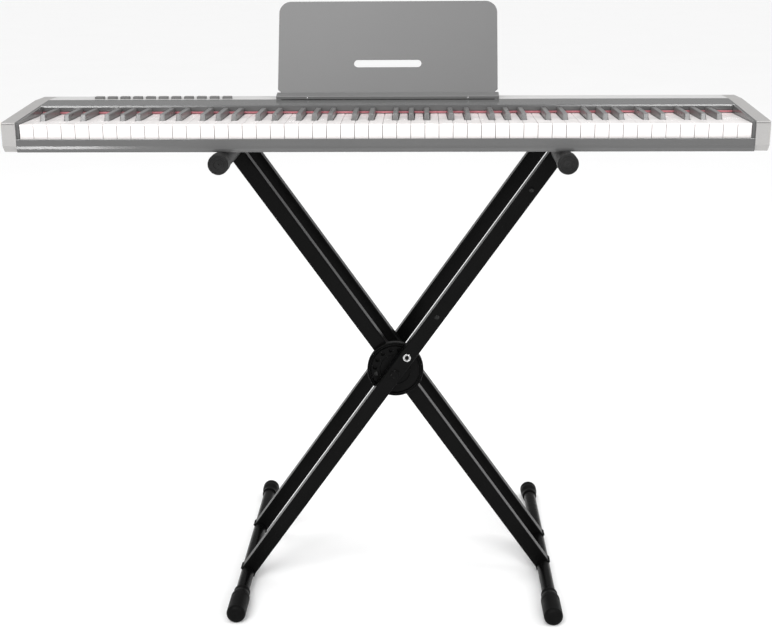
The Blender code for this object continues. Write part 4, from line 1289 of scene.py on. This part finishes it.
# %% Where every key lies
LOWEST, HIGHEST = 21, 108
WHITE = (0, 2, 4, 5, 7, 9, 11)
SHIFTS = {1: -2.5 * MM, 3: 2.5 * MM, 6: -3.4 * MM, 8: 0.0, 10: 3.4 * MM}
SLIT, SIDE_GAP, BLACK_WIDTH, BLACK_TAPER = 0.7 * MM, 1.0 * MM, 11 * MM, 1.3 * MM
CAD_SLIT = 1.0 * MM
OCTAVES = [(LOWEST, 35), (36, 47), (48, 59), (60, 71), (72, 83), (84, 95), (96, HIGHEST)]
KEYS_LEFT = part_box("white_keys_1")[0].x - CAD_SLIT / 2
KEYS_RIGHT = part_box("white_keys_7")[1].x + CAD_SLIT / 2
KEY_LOW, KEY_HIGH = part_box("white_keys_4")
BLACK_LOW, BLACK_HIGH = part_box("black_keys_4")
BLACK_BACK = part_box("felt_strip")[0].y - SIDE_GAP
white_total = sum(n % 12 in WHITE for n in range(LOWEST, HIGHEST + 1))
PITCH = (KEYS_RIGHT - KEYS_LEFT) / white_total
EDGES, count = {}, 0
for note in range(LOWEST, HIGHEST + 1):
    EDGES[note] = KEYS_LEFT + count * PITCH + SHIFTS.get(note % 12, 0.0)
    count += note % 12 in WHITE
print("white keys", white_total, "pitch", round(PITCH / MM, 3), "mm")


# %% Make the white keys
def is_black(note):
    return note % 12 not in WHITE and LOWEST <= note <= HIGHEST


def key_outline(note, front, inset):
    """A white key from above. Inset takes the same off every side, for the body under the top plate."""
    left, right = EDGES[note] + SLIT / 2 + inset, EDGES[note] + PITCH - SLIT / 2 - inset
    clear = BLACK_WIDTH / 2 + SIDE_GAP + inset
    tail_left = EDGES[note - 1] + clear if is_black(note - 1) else left
    tail_right = EDGES[note + 1] - clear if is_black(note + 1) else right
    notch, back = BLACK_LOW.y - SIDE_GAP - inset, KEY_HIGH.y - 1 * MM
    outline = [(left, front), (right, front)]
    outline += [(right, notch), (tail_right, notch)] if tail_right < right else []
    outline += [(tail_right, back), (tail_left, back)]
    return outline + ([(tail_left, notch), (left, notch)] if tail_left > left else [])


PLATE = 3.2 * MM


def make_white_keys(index, low, high):
    shape = bmesh.new()
    notes = [n for n in range(low, high + 1) if not is_black(n)]
    for note in notes:
        plate(shape, key_outline(note, KEY_LOW.y, 0.0), KEY_HIGH.z - PLATE, KEY_HIGH.z, top=0.8 * MM, steps=3)
        body = key_outline(note, KEY_LOW.y + 0.7 * MM, 0.12 * MM)
        plate(shape, body, KEY_LOW.z, KEY_HIGH.z - PLATE + 0.4 * MM)
    name = f"white_keys_{index}"
    low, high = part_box(name)
    block(shape, (low.x, high.y - 10 * MM, KEY_HIGH.z - 9 * MM), (high.x, high.y, KEY_HIGH.z - 1.2 * MM))
    piece(f"{name}_moulded", shape, KEY_WHITE, name, [name])


for index, (low, high) in enumerate(OCTAVES, 1):
    make_white_keys(index, low, high)


# %% [markdown]
# Every black key has the same shape, so one is modelled and a tree repeats it. Its sides lean in, its
# front slopes back, its top edges are well rounded for the fingers, and a short shank joins it to the
# bar of its comb, below the white tails.


# %% The black key tree
def key_row_tree():
    g = Grower("black_key_row", {"Key": "Object", "Scale": "Vector", "Finish": "Material"})
    space, whole = {"transform_space": "ORIGINAL"}, {"Object": g.given("Key")}
    key = g.node("GeometryNodeObjectInfo", space, whole, "Geometry")
    spots = {"Points": g.given("Geometry"), "Instance": key, "Scale": g.given("Scale")}
    return g.end(g.node("GeometryNodeInstanceOnPoints", None, spots))


def black_key_shape():
    """One black key around x = 0, with its front at y = 0 and the white keys' tops at z = 0."""
    shape = bmesh.new()
    length, rise, slope = BLACK_BACK - BLACK_LOW.y, BLACK_HIGH.z - KEY_HIGH.z, 5.5 * MM
    base, top = BLACK_WIDTH / 2, BLACK_WIDTH / 2 - BLACK_TAPER
    low = [(-base, 0, -rise), (base, 0, -rise), (base, length, -rise), (-base, length, -rise)]
    high = [(-top, slope, rise), (top, slope, rise), (top, length, rise), (-top, length, rise)]
    loops = skin(shape, [low, high])
    upright_edges = [e for v in loops[0][:2] for e in v.link_edges if e.other_vert(v) in loops[1]]
    soften(shape, ring_edges(loops[1]) + upright_edges, 1.5 * MM, 4)
    half = top - 0.4 * MM
    block(shape, (-half, length - 5 * MM, -34 * MM), (half, length + 17 * MM, -1 * MM))
    return shape


ROW_TREE = key_row_tree()
pattern = new_object("black_key_pattern", cleaned(black_key_shape(), "black_key"))
for index, (low, high) in enumerate(OCTAVES, 1):
    name = f"black_keys_{index}"
    spots = [Vector((EDGES[n], BLACK_LOW.y, KEY_HIGH.z)) for n in range(low, high + 1) if is_black(n)]
    row = grow(ROW_TREE, seeds(spots), Key=pattern, Scale=(1, 1, 1), Finish=KEY_BLACK)
    shape = bmesh.new()
    shape.from_mesh(row)
    low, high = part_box(name)
    block(shape, (low.x, high.y - 12 * MM, low.z), (high.x, high.y, low.z + 7 * MM))
    piece(f"{name}_moulded", shape, KEY_BLACK, name, [name])
bpy.data.objects.remove(pattern, do_unlink=True)

# %% [markdown]
# ## Felt
# The felt is a thin strip with a cut edge that is never quite straight. Its front face is a fine grid
# whose points are moved by a few tenths of a millimetre, always the same way on each run.

# %% Make the felt
FELT_LOW, FELT_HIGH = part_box("felt_strip")
FELT_MIDDLE = (FELT_LOW.z + FELT_HIGH.z) / 2
FELT_STEPS = 800
rings = []
for i in range(FELT_STEPS + 1):
    x = FELT_LOW.x + (FELT_HIGH.x - FELT_LOW.x) * i / FELT_STEPS
    wobble = 0.25 * MM * math.sin(i * 0.9) * math.sin(i * 0.37 + 1)
    fuzz = 0.2 * MM * math.sin(i * 2.3 + 0.5)
    near, far, top = FELT_LOW.y + 0.3 * MM, FELT_HIGH.y, FELT_HIGH.z - 0.3 * MM
    front = [(x, near + fuzz, FELT_LOW.z + wobble * 0.6), (x, near - 0.1 * MM - fuzz, FELT_MIDDLE)]
    rings.append(front + [(x, near, top), (x, far, top), (x, far, FELT_LOW.z + wobble)])
shape = bmesh.new()
skin(shape, rings)
piece("felt_strip_woolly", shape, FELT_RED, "piano", ["felt_strip"])

# %% [markdown]
# ## Studio
# A pale floor runs out to a sky that is white low down, softer above and bright overhead. Two
# softboxes and a narrow strip stand in front, with one box on each side and one above. They draw the
# thin bright lines along rounded edges, and the sky keeps the pale parts pale.


# %% Floor and sky
FLOOR_REACH = 60.0
SKY_LOW, SKY_MIDDLE, SKY_HIGH = 0.7, 0.42, 1.1


def floor_finish():
    mix = Finish("studio_floor")
    cloud, speck = mix.grain(0.7, 2.0), mix.grain(4 * MM, 2.0)
    colour = mix.mix(cloud * 0.7 + speck * 0.3, grey(0.91), grey(0.94))
    return mix.coat(colour, 0.8, speck, 0.05 * MM, Specular_IOR_Level=0.1)


def studio_sky():
    """White at the horizon, softer grey above it, and white again overhead."""
    world = bpy.data.worlds.new("studio_sky")
    world.use_nodes = True
    mix = Recipe(world.node_tree)
    way = mix.node("ShaderNodeTexCoord", out="Generated")
    height = mix.node("ShaderNodeSeparateXYZ", None, {"Vector": way}, "Z")
    dip, rise = SKY_LOW - SKY_MIDDLE, SKY_HIGH - SKY_MIDDLE
    level = SKY_LOW - height.above(0.03, 0.2) * dip + height.above(0.45, 0.9) * rise
    background = world.node_tree.nodes["Background"]
    world.node_tree.links.new(level.socket, background.inputs["Strength"])
    background.inputs["Color"].default_value = (1.0, 1.0, 1.0, 1.0)
    return world


shape = bmesh.new()
bmesh.ops.create_grid(shape, x_segments=4, y_segments=4, size=FLOOR_REACH)
floor_mesh = bpy.data.meshes.new("studio_floor")
shape.to_mesh(floor_mesh)
shape.free()
floor_mesh.materials.append(floor_finish())
floor = new_object("studio_floor", floor_mesh)
bpy.context.scene.world = studio_sky()
bpy.context.scene.view_settings.view_transform = "Standard"
print("floor and sky ready")


# %% Lights
def softbox(name, place, aim, size, glow):
    """A rectangular light of a given brightness, turned towards a point."""
    lamp = bpy.data.lights.new(name, "AREA")
    lamp.shape = "RECTANGLE"
    lamp.size, lamp.size_y = size
    lamp.energy = glow * math.pi * size[0] * size[1]
    made = new_object(name, lamp)
    made.location = place
    made.rotation_euler = (Vector(aim) - Vector(place)).to_track_quat("-Z", "Y").to_euler()


sun = bpy.data.lights.new("soft_sun", "SUN")
sun.energy, sun.angle = 1.0, math.radians(30)
new_object("soft_sun", sun).rotation_euler = (math.radians(38), 0, math.radians(-18))
KEYBOARD = Vector((0, -0.1, 0.87))
SOFTBOXES = {
    "left_front_box": ((-1.8, -4.2, 2.3), (1.3, 0.5), 22.0),
    "right_front_box": ((1.5, -4.2, 2.3), (1.3, 0.5), 20.0),
    "rail_strip": ((-1.76, -4.2, 1.38), (0.46, 0.26), 24.0),
    "left_side_box": ((-3.2, -0.6, 2.3), (1.2, 1.6), 1.0),
    "right_side_box": ((3.2, -0.6, 2.3), (1.2, 1.6), 5.0),
    "top_box": ((0, 0.4, 3.6), (3.0, 1.6), 1.6),
}
for name, (place, size, glow) in SOFTBOXES.items():
    softbox(name, place, KEYBOARD, size, glow)
